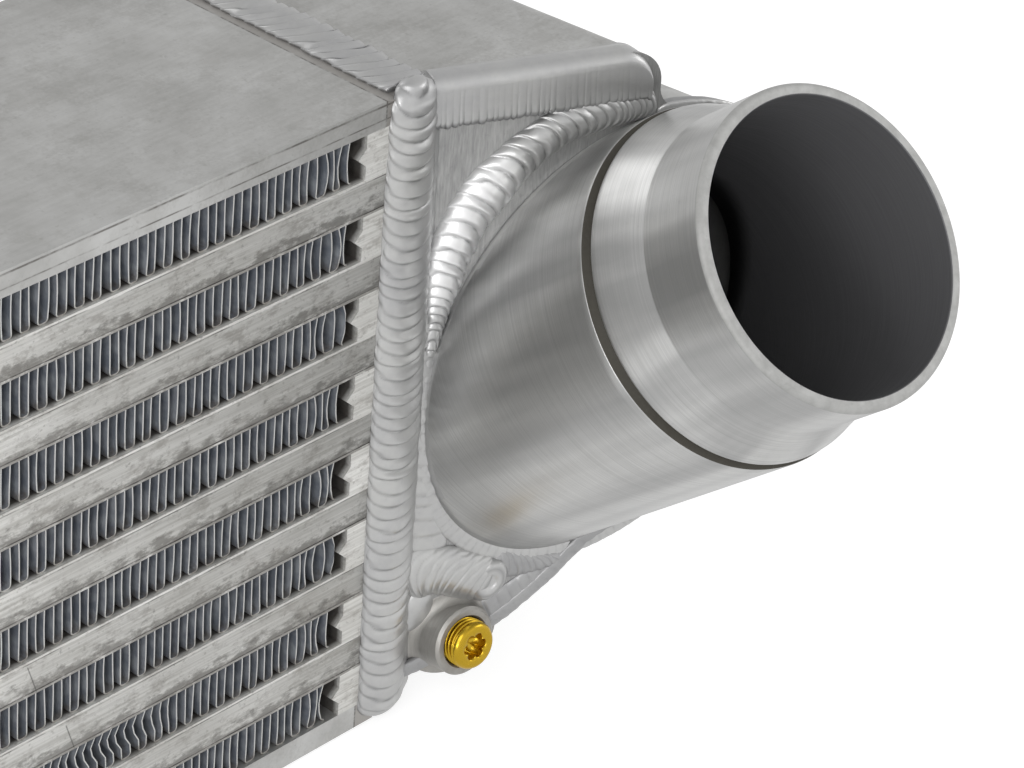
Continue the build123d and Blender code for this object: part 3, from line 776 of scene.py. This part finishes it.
class Wall:
    """The front wall's plane: x outwards from the core, z up, h out of the wall."""

    def __init__(self, sizes):
        slant = sizes.slant
        self.origin = np.array([top_high[0], top_low[1] + sizes.setback, 0.0])
        self.x_way = np.array([cos(slant), -sin(slant), 0.0])
        self.out = np.array([-sin(slant), -cos(slant), 0.0])
        self.up = np.array([0.0, 0.0, 1.0])
        nose, mouth_ahead = mounts["outlet_nose"], 8.8 * MM
        self.way = unit(np.array(nose["axis"], float))
        self.mouth = np.array(nose["pos_m"], float) + self.way * mouth_ahead
        self.radius = sizes.body_radius

    def at(self, x, z, h=0.0):
        """Points in the part's frame for places on the wall, in millimetres."""
        x, z, h = (np.asarray(v, float)[..., None] * MM for v in (x, z, h))
        return self.origin + self.x_way * x + self.up * z + self.out * h

    def height(self, points):
        """How far points stand out of the wall."""
        return (points - self.origin) @ self.out

    def climb(self, height):
        """The way along the spigot's axis that gains a height over the wall."""
        return height / (self.way @ self.out)

    def foot(self):
        """The spigot's foot on the wall: for each angle round the spigot's axis, the point where a
        line along its surface meets the wall. Returns the points, the directions outwards from it
        in the wall, and their angle in the wall, from the wall's x towards up, in degrees."""
        spoke = spokes(self.way, self.up, 1440)
        start = self.mouth + self.radius * spoke
        points = start - self.way * self.climb(self.height(start))[:, None]
        outwards = unit(spoke - (spoke @ self.out)[:, None] * self.out)
        turn = np.degrees(np.arctan2(outwards @ self.up, outwards @ self.x_way)) % 360
        order = np.argsort(turn)
        return points[order], outwards[order], turn[order]

    def round_foot(self, turns, distance, count):
        """Points beside the spigot's foot at the given angles and distances in millimetres, with
        the directions away from it and the angles."""
        points, outwards, turn = self.foot()
        stations = np.linspace(turns[0], turns[-1], 2000)
        here = stations % 360
        away = unit(rows_at(here, turn, outwards, 360))
        apart = np.interp(stations, turns, distance) * MM
        line = rows_at(here, turn, points, 360) + away * apart[:, None]
        far = distances(line)
        at = np.linspace(0, far[-1], count)
        return rows_at(at, far, line), unit(rows_at(at, far, away)), np.interp(at, far, stations)


def corner_line(front, count):
    """The corner bead's middle: up the corner, then back over the top with a round of 3 mm."""
    x, bottom, top = 0.1640, 0.6 * MM, top_high[2] - 1.6 * MM
    y, back = (core_low[1], 1) if front else (core_high[1], -1)
    radius, turn = 3.0 * MM, np.linspace(0, radians(78), 12)
    over_y, over_z = y + back * radius * (1 - np.cos(turn)), top + radius * np.sin(turn)
    y, z = np.append(y, over_y), np.append(bottom, over_z)
    points, s = resampled(np.stack([np.full(13, x), y, z], 1), count)
    lean = np.clip((s - (top - bottom)) / (radius * turn[-1]), 0, 1) * turn[-1]
    out = np.stack([np.zeros(count), -back * np.cos(lean), np.sin(lean)], 1)
    return points, np.tile([1.0, 0.0, 0.0], (count, 1)), out


class INTERCOOLER_OT_core_welds(bpy.types.Operator):
    """Adds the beads that join the core to each tank: two corners, their toes and the top band"""

    bl_idname = "intercooler.core_welds"
    bl_label = "Core welds"

    def execute(self, context):
        sizes = context.scene.intercooler_tank
        for label, side in TANKS:
            seed = 11 if side > 0 else 31
            for where, rise, depth in (("front", 3.0, sizes.ripple_depth / MM), ("back", 1.3, 0.3)):
                front = where == "front"
                line = corner_line(front, 760 if side > 0 and front else 420)
                z = line[0][:, 2] / MM
                half = 6.3 + 0.5 * np.sin(z / 142 * pi) - 0.4 * rise_between(z, 120, 145)
                add_bead(f"{label}_corner_bead_{where}", line, side,
                         [f"{label}_core_weld"] if front else [], half_width=half, rise=rise,
                         pitch=sizes.ripple / MM, depth=depth, bow=3.9, seed=seed, sink=0.2,
                         crown=0.7, end_round=(4.0, 5.5), columns=40, dirt=0.8)
                toe = [part[::4] for part in line]
                toe[0] = toe[0] + np.array([0.8 * MM, 0, 0])
                add_bead(f"{label}_corner_toe_{where}", toe, side, half_width=half[::4] + 0.75,
                         rise=1.15, pitch=9, depth=0.12, bow=2.0, seed=seed + 2, sink=0.2,
                         crown=0.5, end_round=(5.0, 6.5), columns=24, dirt=0.3)
            count = 380 if side > 0 else 200
            y = np.linspace(core_high[1] / MM - 1, core_low[1] / MM + 2.5, count)
            x = 165.0 + 0.35 * wobble(y, 30, seed + 5)
            points = np.stack([x, y, np.full(count, top_high[2] / MM - 0.3)], 1) * MM
            ways = (np.tile(way, (count, 1)) for way in ([1.0, 0, 0], [0.0, 0, 1.0]))
            add_bead(f"{label}_top_band", (resampled(points, count)[0], *ways), side,
                     half_width=5.3, rise=1.05, pitch=3.0, depth=0.75, bow=-3.0, slant=-2.2,
                     seed=seed + 6, sink=0.9, crown=0.5, end_round=(2.0, 1.0), columns=48,
                     dirt=3.0, step=0.24)
        return {"FINISHED"}


class INTERCOOLER_OT_saddle_welds(bpy.types.Operator):
    """Adds the beads round the foot of each spigot"""

    bl_idname = "intercooler.saddle_welds"
    bl_label = "Saddle welds"

    def execute(self, context):
        wall = Wall(context.scene.intercooler_tank)
        turns = np.array([97.5, 100, 106, 115, 123, 130, 138, 144, 150, 155, 161, 168])
        outer = np.array([6.0, 6.5, 7.8, 10.2, 12.4, 13.2, 14.0, 13.4, 11.7, 8.9, 4.7, 2.5])
        inner = np.array([0.0, 0.2, 0.6, 2.0, 4.2, 4.3, 3.4, 3.3, 2.0, 0.9, 0.2, -0.2])
        ring_turns = np.array([160, 171, 185, 200, 220, 245, 270, 320, 380, 430, 458])
        ring_middle = np.array([1.8, 0.0, -0.6, 0.4, 1.2, 1.2, 0.9, 0.6, 0.6, 0.6, 0.6])
        ring_half = np.array([1.4, 1.4, 1.3, 1.6, 2.2, 2.2, 2.1, 2.1, 2.1, 2.1, 1.8])
        rises = ([84, 100, 112, 125, 150, 162], [0.7, 1.1, 1.9, 2.9, 2.9, 1.2])
        pitches = ([108, 118, 136, 152, 160], [1.3, 1.9, 3.1, 2.9, 2.0])
        depths = ([104, 118, 132, 155, 162], [0.2, 0.4, 0.75, 0.75, 0.4])
        for label, side in TANKS:
            seed = 51 if side > 0 else 71
            points, away, at = wall.round_foot(turns, (outer + inner) / 2, 640 if side > 0 else 240)
            form = {
                "half_width": np.interp(at, turns, (outer - inner) / 2),
                "rise": np.interp(at, *rises),
                "pitch": np.interp(at, *pitches),
                "depth": np.interp(at, *depths),
                # Painted highlight: the bead's colour is lightened between about 129 and 161
                # degrees, where it catches the light.
                "painted_highlight": rise_between(at, 129, 138) - rise_between(at, 155, 161),
            }
            form = {key: value[::-1] for key, value in form.items()}
            line = (points[::-1], away[::-1], np.tile(wall.out, (len(points), 1)))
            add_bead(f"{label}_saddle_bead", line, side, [f"{label}_saddle_weld"], bow=-3.4,
                     seed=seed, crown=0.6, end_round=(4.0, 1.0), columns=48, step=0.3, **form)
            if side > 0:
                self.add_lower_beads(wall)
            points, away, at = wall.round_foot(ring_turns, ring_middle, 700 if side > 0 else 400)
            add_bead(f"{label}_foot_bead", (points, away, unit(wall.out + 0.7 * away)), side,
                     half_width=np.interp(at, ring_turns, ring_half), rise=1.0, pitch=1.9,
                     depth=0.07, bow=1.0, seed=seed + 3, sink=1.2, crown=0.6, dirt=0.4, columns=26)
        return {"FINISHED"}

    def add_lower_beads(self, wall):
        """The wide bead under the outlet's spigot and the smear beside it, the two beads that run
        on from there to the wall's edge with a crack-like seam between them, and two dabs. Each
        bead has its places, half widths, rise, pitch, depth, bow, slant and finish."""
        lines = {
            "swoosh": ([(7, 29.5), (11, 31.2), (16, 31), (21, 29), (27, 26.5)], (6.3, 5.4),
                       2.6, 1.9, 0.16, 4.2, 1.6, "Weld metal"),
            "side_smear": ([(12.5, 28), (11.0, 48), (9.6, 75), (10.6, 100)], (5.6, 2.2),
                           0.8, 3.4, 0.2, 1.6, 1.2, "Weld metal"),
            "under_spigot": ([(26.5, 31), (32, 29.4), (38, 28.8), (43.5, 29.6)], (3.9, 1.6),
                             1.3, 1.5, 0.2, -1.2, -1.4, "Painted-shade weld"),
            "belly_edge": ([(25.5, 17.5), (31, 21), (37, 25.3), (43, 29.0)], (4.0, 2.0),
                           1.0, 2.6, 0.1, 0.6, 0.5, "Painted-shade weld"),
        }
        for number, (name, form) in enumerate(lines.items()):
            places, halves, rise, pitch, depth, bow, slant, finish = form
            flat, s = smooth_line(places, 260)
            points = wall.at(*flat.T)
            across = unit(np.cross(unit(np.gradient(points, axis=0)), wall.out))
            line = (points, across, np.tile(wall.out, (len(points), 1)))
            add_bead(f"outlet_{name}_bead", line, finish=finish,
                     half_width=np.interp(s / s[-1], [0, 1], halves), rise=rise, pitch=pitch,
                     depth=depth, bow=bow, slant=slant, seed=171 + 5 * number, crown=0.6,
                     columns=48, step=0.34, dirt=0.4)
        add_disc("outlet_pool", wall, (10.6, 21.8), 4.4,
                 (1.5, 1.5, 1.45, 1.35, 1.2, 0.95, 0.6, 0.1, -0.4))
        add_disc("outlet_crater", wall, (26.2, 27.0), 4.3,
                 (1.75, 1.7, 1.8, 2.15, 2.3, 2.2, 1.95, 1.3, -0.4),
                 ([0.45, 0.6, 0.75, 0.9], [0, 0.5, 0, 0.4]))


def add_disc(name, wall, middle, radius, heights, crease_shades=None):
    """A round dab of weld on the wall: rings whose height follows a line of heights over the share
    of the radius, the last ring sunk into the wall, and whose painted crease shade may follow
    another line, darkening rings of it. It is longer one way, up the wall."""
    rings, turns, lean, longer = 26, 64, radians(60), 1.3
    share = np.linspace(0.02, 1, rings)[:, None]
    height = np.interp(share, np.linspace(0, 1, len(heights)), heights)
    angle = np.linspace(0, 2 * pi, turns, endpoint=False)
    first, second = share * np.cos(angle) * radius * longer, share * np.sin(angle) * radius
    x = middle[0] + first * cos(lean) - second * sin(lean)
    z = middle[1] + first * sin(lean) + second * cos(lean)
    values = None
    if crease_shades:
        values = {"crease_shade": np.repeat(np.interp(np.linspace(0, 1, rings), *crease_shades), turns)}
    add_surface(name, wall.at(x, z, height * np.ones_like(x)), "Weld metal",
                scale=(0.0002, 0.0004), values=values)


def tank_outline(wall, inset):
    """The front wall's outline as (x, z) in millimetres, from the top strip's end clockwise to the
    foot, and the middle point that it is drawn round. By angle about that point, the tank is the
    least of the belly's circle, the side and the top, and the spigot's lobe is joined to it by a
    smooth maximum."""
    tank_power, lobe_power, flat = 22.0, 40.0, 0.01
    middle = np.array([38.0, 84.0])
    angle = np.radians(np.linspace(70, -113, 900))
    ray = np.stack([np.cos(angle), np.sin(angle)], 1)
    gap = middle - np.array([-14.0, 83.0])
    along = ray @ gap
    reaches = [-along + np.sqrt(along**2 - gap @ gap + (80.3 - inset) ** 2)]
    for part, edge, start in zip(ray.T, (55.5, top_high[2] / MM), middle):
        far = (edge - inset - start) / np.maximum(part, flat)
        reaches.append(np.where(part > flat, far, 999))
    tank = sum(reach**-tank_power for reach in reaches) ** (-1 / tank_power)
    points, outwards, _ = wall.foot()
    lobe = points + outwards * (1.0 - inset) * MM - wall.origin
    lobe = np.stack([lobe @ wall.x_way, lobe @ wall.up], 1) / MM - middle
    lobe_angle = np.arctan2(lobe[:, 1], lobe[:, 0])
    order = np.argsort(lobe_angle)
    reach = np.interp(angle, lobe_angle[order], np.hypot(*lobe.T)[order], period=2 * pi)
    both = (tank**lobe_power + reach**lobe_power) ** (1 / lobe_power)
    return middle + ray * both[:, None], middle


class INTERCOOLER_OT_seam_welds(bpy.types.Operator):
    """Adds the wide strip along the top of each front wall and the bead round the wall's rim"""

    bl_idname = "intercooler.seam_welds"
    bl_label = "Seam welds"

    def execute(self, context):
        sizes = context.scene.intercooler_tank
        wall = Wall(sizes)
        for label, side in TANKS:
            self.add_strip(wall, sizes, label, side)
            self.add_rim(wall, label, side)
        return {"FINISHED"}

    def add_strip(self, wall, sizes, label, side):
        """The strip: its section, a face that stands proud of the wall, a round edge and a flat
        top, is carried along the wall, and fine upright ripples are added to its height."""
        bottom, top = sizes.strip_bottom / MM, sizes.strip_top / MM
        proud, corner, tail, pitch, end_reach = 1.45, 2.4, -4.8, 1.34, 6.2
        face_count, bend_count, fade_count = 22, 5, 8
        seed = 91 if side > 0 else 111
        x = np.linspace(8.2, 53.2, 420 if side > 0 else 240)[:, None]
        face = np.linspace(0, 1, face_count)
        bend = np.linspace(0, pi / 2, bend_count + 2)[1:-1]
        h_face = proud * (1 - (1 - np.minimum(face * 5, 1)) ** 2) ** 0.5
        h_top = np.linspace(proud - corner, tail, 8)
        section = (
            (bottom + (top - corner - bottom) * face, h_face),
            (top - corner + corner * np.sin(bend), proud - corner + corner * np.cos(bend)),
            (top - 0.5 * rise_between(-h_top, 2.5, 4.8), h_top),
            ([top - 3.0, bottom + 2.0, bottom], [tail, -0.8, -0.6]),
        )
        v, h = (np.concatenate(part) for part in zip(*section))
        grid_v = np.tile(v, (len(x), 1))
        end = np.clip((x - 47.0) / end_reach, 0, 0.999)
        droop = (1 - np.sqrt(1 - end**2)) * end_reach
        drooped = grid_v - droop * (grid_v - bottom) / (top - bottom)
        grid_v = np.where(grid_v > bottom + 1, drooped, grid_v)
        phase = x / pitch + 0.35 * wobble(x, 9, seed + 1) + 0.02 * (grid_v - bottom)
        ripple = np.abs(np.sin(pi * phase)) ** 0.7
        fade = (1 - 2.5 * face[:fade_count]).clip(0, 1)
        edge = 0.55 * ripple[:, :fade_count] - 0.3 + 0.25 * wobble(x, 6, seed)
        grid_v[:, :fade_count] -= edge * fade
        strength = np.zeros(len(v))
        strength[:face_count] = np.interp(face, [0, 0.1, 0.45, 1], [0.02, 0.13, 0.05, 0.02])
        strength[face_count : face_count + bend_count] = 0.015
        grid_h = h + (ripple - 0.6) * strength * (0.6 + 0.5 * wobble(x, 12, seed + 2))
        points = wall.at(x * np.ones_like(grid_v), grid_v, grid_h)
        # Painted shade: the ripple troughs low on the face, the bottom edge where the strip meets
        # the wall, and the hidden back are darkened through the crease shade value.
        crease_shade = (1 - ripple * 1.8).clip(0, 1)
        crease_shade = crease_shade * np.interp(v, [bottom, bottom + 4, top], [1, 0.1, 0])
        crease_shade = np.maximum(crease_shade, np.interp(np.arange(len(v)), [0, 2, 4], [1, 0.7, 0]))
        crease_shade[:, face_count + bend_count + 7 :] = 0.6
        add_surface(f"{label}_top_strip", points, "Weld metal",
                    [f"{label}_seam_weld"], side, scale=(0.0001, 0.0004), values={"crease_shade": crease_shade})

    def add_rim(self, wall, label, side):
        """The rim bead follows the front wall's outline, leaning out over its edge."""
        outline, middle = tank_outline(wall, 1.2)
        points, _ = resampled(wall.at(*outline.T, -0.6), 440 if side > 0 else 260)
        tangent = unit(np.gradient(points, axis=0))
        away = unit(np.cross(tangent, wall.out))
        away = away * np.sign(((points - wall.at(*middle)) * away).sum(1, keepdims=True))
        out = unit(wall.out + 0.75 * away)
        # The rim bead takes the painted-shade weld.
        add_bead(f"{label}_rim_bead", (points, unit(np.cross(tangent, out)), out), side,
                 finish="Painted-shade weld", half_width=2.7, rise=1.5, pitch=2.6, depth=0.1, bow=1.3,
                 seed=131 if side > 0 else 141, sink=1.0, crown=0.7, dirt=0.25)


# Turned pieces


def spigot_profile(sizes, tail):
    """The turned outline as (radius, place along the axis from the mouth): down the outside, and
    up the bore, which narrows towards its foot, with round edges at the mouth, ramp and groove."""
    nose_radius = mounts["outlet_nose"]["dims"]["r_mm"] - 0.002
    nose, ramp, groove, collar, groove_radius, body, bore, r = (size / MM for size in (
        sizes.nose_length, sizes.ramp_length, sizes.groove_width, sizes.collar_radius,
        sizes.groove_radius, sizes.body_radius, sizes.bore_radius, sizes.nose_round,
    ))
    inner_round, narrowing = 0.35, 1.15
    quarter = np.linspace(0, pi / 2, 8)
    mouth_edge = np.stack([nose_radius - r + r * np.sin(quarter), -r + r * np.cos(quarter)], 1)
    bore_edge = np.stack([bore + inner_round * (1 - np.sin(quarter)),
                          -inner_round * (1 - np.cos(quarter))], 1)[::-1]
    collar_end = -nose - ramp
    steps = [
        (nose_radius, -nose + 0.3),
        (nose_radius + 0.08, -nose),
        (nose_radius + 0.25, -nose - 0.35),
        (collar - 0.35, -nose - ramp * 0.86),
        (collar - 0.06, -nose - ramp * 0.93),
        (collar, -nose - ramp * 0.97),
        (collar - 0.12, collar_end),
        (groove_radius, collar_end - 0.05),
        (groove_radius, collar_end - groove),
        (body - 0.1, collar_end - groove - 0.02),
        (body, collar_end - groove - 0.15),
        (body, -tail / MM),
    ]
    throat = [(bore - narrowing, -tail / MM)] * 3
    return np.vstack([mouth_edge, steps]) * MM, np.vstack([throat, bore_edge]) * MM


class INTERCOOLER_OT_spigots(bpy.types.Operator):
    """Adds the turned spigots, with the flare at the foot, and their bores darkened by painted
    shade
    """

    bl_idname = "intercooler.spigots"
    bl_label = "Spigots"

    def execute(self, context):
        sizes = context.scene.intercooler_tank
        wall = Wall(sizes)
        body_length = wall.climb(wall.height(wall.mouth))
        outside, bore = spigot_profile(sizes, body_length + 60 * MM)
        for label, side in TANKS:
            grid = self.flared(wall, self.turn(wall, outside))
            inner = self.turn(wall, bore)
            for row, level in enumerate((-5.5, -0.2, 0.6)):
                inner[row] = self.cut(wall, inner[row], level * MM)
            shell = np.vstack([grid, inner, grid[:1]])
            self.add(wall, shell, label, side, len(grid))
        return {"FINISHED"}

    def turn(self, wall, profile):
        """The profile carried round the spigot's axis, one row per point of the profile."""
        radius, along = profile.T[:, :, None, None]
        return wall.mouth + wall.way * along + spokes(wall.way, wall.up, 288) * radius

    def cut(self, wall, row, level):
        """A row moved along the axis until it lies at a level off the wall."""
        return row + wall.way * wall.climb((level - wall.height(row)).clip(0))[..., None]

    def flared(self, wall, grid):
        """Adds rows towards the foot where the body widens into the weld: the radius grows by
        flare * (1 - h / reach)^2 for points at a height h over the wall that is under reach."""
        flare, reach = 0.3, 2.0
        start, last = grid[-2], self.cut(wall, grid[-1], 0.0)
        rows = start + (last - start) * np.linspace(0, 1, 30)[1:, None, None]
        axis_point = wall.mouth + ((rows - wall.mouth) @ wall.way)[..., None] * wall.way
        grow = flare * np.clip(1 - wall.height(rows) / MM / reach, 0, 1) ** 2
        return np.vstack([grid[:-1], rows + unit(rows - axis_point) * (grow * MM)[..., None]])

    def add(self, wall, shell, label, side, outer_rows):
        """The shell as a piece, whose bore and groove faces take painted shade and whose foot and
        rim
        faces take finishes of their own: the rows that each one covers, counted from the mouth down
        and back up the bore."""
        bore, groove, weld, rim = 1, 2, 3, 4
        obj = add_surface(f"{label}_spigot_turned", shell, "Turned spigot",
                          [f"{label}_spigot"], side, poles=False, scale=(0.001, 0.00078))
        for name in ("Painted-shade bore", "Painted-shade groove", "Weld metal", "Mouth rim"):
            obj.data.materials.append(bpy.data.materials[name])
        slots = np.zeros((len(shell) - 1, shell.shape[1]), np.int32)
        height = wall.height(shell[:outer_rows]) / MM
        slots[: outer_rows - 1][np.maximum(height[:-1], height[1:]) < 1.7] = weld
        # Painted shade on the bore's faces.
        slots[outer_rows:-3] = bore
        # Painted shade on the clip groove's faces.
        slots[14:17] = groove
        slots[:7] = slots[-3:] = rim
        obj.data.polygons.foreach_set("material_index", slots.reshape(-1))
        obj.data.update()


class INTERCOOLER_OT_boss(bpy.types.Operator):
    """Adds the sensor boss, its weld and the threaded gold plug"""

    bl_idname = "intercooler.boss"
    bl_label = "Boss and plug"

    def execute(self, context):
        sizes = context.scene.intercooler_tank
        wall = Wall(sizes)
        lean, turn = radians(8), sizes.slant - radians(17.5)
        self.root = wall.at(18.7, 15.1)
        self.up = wall.up
        self.way = np.array([-cos(lean) * sin(turn), -cos(lean) * cos(turn), sin(lean)])
        self.add_boss(wall)
        self.add_fillet(wall)
        self.add_plug()
        return {"FINISHED"}

    def turned(self, profile, turns=96):
        """A (radius, height) line in millimetres carried round the boss's axis. The line may have
        a place of its own for each turn."""
        if profile.ndim == 2:
            profile = profile[:, None]
        radius, height = profile[..., :1] * MM, profile[..., 1:] * MM
        return self.root + self.way * height + spokes(self.way, self.up, turns) * radius

    def climb(self, wall, height):
        """The way along the boss's axis that gains a height over the wall."""
        return height / (self.way @ wall.out)

    def add_boss(self, wall):
        """The boss: a tube with a chamfered end, cut off just under the wall's face."""
        radius, chamfer, hole, top, bottom = 7.4, 0.6, 5.35, 5.4, -4
        sunk = 0.5 * MM
        body = np.array([(radius, bottom), (radius, top - chamfer), (radius - chamfer, top),
                         (hole + 0.35, top), (hole, top - 0.4), (hole, 0), (hole, bottom),
                         (radius, bottom)])
        pieces = [np.linspace(a, b, 3, endpoint=False) for a, b in zip(body, body[1:])]
        grid = self.turned(np.vstack(pieces + [body[-1:]]))
        climb = self.climb(wall, (-sunk - wall.height(grid)).clip(0))
        grid = grid + self.way * climb[..., None]
        add_surface("sensor_boss", grid, "Turned boss", ["plug_boss"],
                    poles=False, scale=(0.0005, 0.0005), smooth=False)

    def add_fillet(self, wall):
        """The weld round the boss: a hollow quarter circle that follows the wall all round."""
        hollow, inside, sunk = 2.3, 7.1, -0.7
        bend = np.linspace(0, pi / 2, 12)
        curve = np.stack([7.35 + hollow * (1 - np.cos(bend)), hollow * (1 - np.sin(bend))], 1)
        line = np.vstack([[(inside, sunk), (inside, hollow)], curve,
                          [(7.4 + hollow, sunk), (inside, sunk)]])
        grid = self.turned(line * [1, 0])
        climb = line[:, 1:] * MM - self.climb(wall, wall.height(grid))
        grid = grid + self.way * climb[..., None]
        add_surface("boss_fillet", grid, "Turned boss", ["boss_weld"],
                    poles=False, scale=(0.0005, 0.0005))

    def add_plug(self):
        """The plug as one surface: a helical thread, crest - depth * (1 - cos(2 pi (z / pitch -
        turn))), a chamfer, a flat end and a socket with six lobes, radius = r + lobe |cos(3
        turn)|^0.7."""
        pitch, crest, depth, top, turns = 1.0, 5.15, 0.36, 8.6, 144
        share = np.linspace(0, 1, turns, endpoint=False)
        z = np.linspace(0.5, top - 0.9, 90)[:, None] * np.ones(turns)
        thread = crest - depth * (1 - np.cos(2 * pi * (z / pitch - share)))
        thread = thread + (crest - 0.1 - thread) * rise_between(z, top - 1.5, top - 1.0)
        lobes = 1.95 + 0.85 * np.abs(np.cos(3 * 2 * pi * share)) ** 0.7
        end = ((crest - 0.3, -0.5), (4.45, -0.12), (4.2, 0), (3.4, 0), (lobes + 0.3, 0),
               (lobes, -0.3), (lobes * 0.99, -0.6), (lobes * 0.99, -3.2), (0.5, -3.4))
        radii = [np.broadcast_to(radius, turns) for radius, _ in end]
        heights = [np.full(turns, top + above) for _, above in end]
        profile = np.stack([np.vstack([thread, radii]), np.vstack([z, heights])], -1)
        add_surface("gold_plug", self.turned(profile, turns), "Gold plug",
                    ["boss_plug"], scale=(0.0002, 0.0002))


class INTERCOOLER_OT_studio(bpy.types.Operator):
    """Sets the pale floor, the soft lights and the photograph's camera"""

    bl_idname = "intercooler.studio"
    bl_label = "Studio"

    def execute(self, context):
        scene = context.scene
        self.add_floor(scene)
        self.light_world(scene)
        self.add_lamps(scene)
        self.add_camera(scene)
        scene.view_settings.view_transform = "Standard"
        return {"FINISHED"}

    def add_floor(self, scene):
        """A large pale floor that the camera and reflections see as white, with a soft shadow."""
        size = 6.0
        mesh = bpy.data.meshes.new("floor")
        mesh.from_pydata([(-size, -size, 0), (size, -size, 0), (size, size, 0), (-size, size, 0)],
                         [], [(0, 1, 2, 3)])
        floor = bpy.data.objects.new("floor", mesh)
        floor.location.z = -0.0005
        scene.collection.objects.link(floor)
        material = bpy.data.materials.new("Pale floor")
        material.use_nodes = True
        n = Nodes(material.node_tree)
        path = n.add("ShaderNodeLightPath").outputs
        seen = n.math("MAXIMUM", path["Is Camera Ray"], path["Is Glossy Ray"])
        level = n.math("MULTIPLY_ADD", path["Is Camera Ray"], 0.2, 0.52)
        white = n.add("ShaderNodeEmission", {"Color": (1, 1, 1, 1), "Strength": level})
        paper, plain = (
            n.add("ShaderNodeBsdfDiffuse", {"Color": (tone, tone, tone, 1)}) for tone in (0.42, 0.8)
        )
        both = n.add("ShaderNodeAddShader", {0: white.outputs[0], 1: paper.outputs[0]})
        chosen = n.add("ShaderNodeMixShader", {0: seen, 1: plain.outputs[0], 2: both.outputs[0]})
        n.add("ShaderNodeOutputMaterial", {"Surface": chosen.outputs[0]})
        mesh.materials.append(material)

    def light_world(self, scene):
        """Soft light from all round, and plain white where the camera sees past the floor."""
        world = bpy.data.worlds.new("Studio")
        scene.world = world
        world.use_nodes = True
        n = Nodes(world.node_tree)
        split = n.axes(n.place("Generated"))
        level = n.math("MULTIPLY_ADD", split["Z"], -0.35, 0.92)
        level = n.math("MULTIPLY_ADD", split["Y"], -0.2, level)
        light, white = (
            n.add("ShaderNodeBackground", {"Color": (1, 1, 1, 1), "Strength": strength})
            for strength in (level, 1.0)
        )
        path = n.add("ShaderNodeLightPath").outputs
        chosen = n.add("ShaderNodeMixShader", {
            0: path["Is Camera Ray"], 1: light.outputs[0], 2: white.outputs[0]
        })
        n.add("ShaderNodeOutputWorld", {"Surface": chosen.outputs[0]})

    def add_lamps(self, scene):
        """Large soft boxes, two on the left, one on the right and one behind: their place, target,
        size and power."""
        lamps = {
            "left_box": ((-0.9, -0.7, 1.0), (0.15, -0.05, 0.07), 1.1, 5.0),
            "low_left_box": ((-1.2, -0.75, 0.32), (0.17, -0.05, 0.1), 0.5, 4.0),
            "right_box": ((1.3, -0.75, 0.75), (0.2, -0.08, 0.08), 0.8, 3.0),
            "back_box": ((0.1, 1.2, 1.2), (0.15, 0, 0.1), 1.0, 3.0),
        }
        for name, (place, target, size, power) in lamps.items():
            lamp = bpy.data.lights.new(name, "AREA")
            lamp.shape = "RECTANGLE"
            lamp.size = size
            lamp.size_y = size * 0.7
            lamp.energy = power
            obj = bpy.data.objects.new(name, lamp)
            obj.location = place
            way = Vector(target) - Vector(place)
            obj.rotation_euler = way.to_track_quat("-Z", "Y").to_euler()
            scene.collection.objects.link(obj)

    def add_camera(self, scene):
        """The camera of the photograph: long lens, above the front left of the outlet tank."""
        camera = bpy.data.cameras.new("camera")
        camera.lens = 158.1
        camera.sensor_width = 36.0
        camera.clip_start = 0.01
        obj = bpy.data.objects.new("camera", camera)
        right = Vector((0.6799, -0.7307, 0.0619))
        up = Vector((0.3484, 0.3962, 0.8495))
        back = Vector((-0.6452, -0.556, 0.5239))
        turn = Matrix((right, up, back)).transposed().to_4x4()
        obj.matrix_world = Matrix.Translation((-0.3818, -0.5375, 0.5353)) @ turn
        scene.collection.objects.link(obj)
        scene.camera = obj


class INTERCOOLER_PT_panel(bpy.types.Panel):
    """Lists the pieces of the intercooler and their sizes"""

    bl_label = "Intercooler"
    bl_space_type = "VIEW_3D"
    bl_region_type = "UI"
    bl_category = "Intercooler"

    def draw(self, context):
        column = self.layout.column()
        for operator in OPERATORS:
            column.operator(operator.bl_idname)
        for key in GROUPS:
            sizes = getattr(context.scene, key)
            box = self.layout.box()
            for size in sizes.__annotations__:
                box.prop(sizes, size)


OPERATORS = (
    INTERCOOLER_OT_plates,
    INTERCOOLER_OT_fins,
    INTERCOOLER_OT_core_welds,
    INTERCOOLER_OT_saddle_welds,
    INTERCOOLER_OT_seam_welds,
    INTERCOOLER_OT_spigots,
    INTERCOOLER_OT_boss,
    INTERCOOLER_OT_studio,
)
GROUPS = {
    "intercooler_core": CoreSizes,
    "intercooler_tank": TankSizes,
    "intercooler_finishes": Finishes,
}


def register():
    """Registers the classes and hangs the sizes on the scene."""
    for item in (*GROUPS.values(), *OPERATORS, INTERCOOLER_PT_panel):
        bpy.utils.register_class(item)
    for key, group in GROUPS.items():
        setattr(bpy.types.Scene, key, PointerProperty(type=group))


def unregister():
    """Takes the sizes and the classes away again."""
    for key in GROUPS:
        delattr(bpy.types.Scene, key)
    for item in (INTERCOOLER_PT_panel, *reversed(OPERATORS), *GROUPS.values()):
        bpy.utils.unregister_class(item)


def main():
    """Builds every piece in order."""
    register()
    make_materials()
    for operator in OPERATORS:
        group, name = operator.bl_idname.split(".")
        getattr(getattr(bpy.ops, group), name)()


if __name__ == "__main__":
    main()
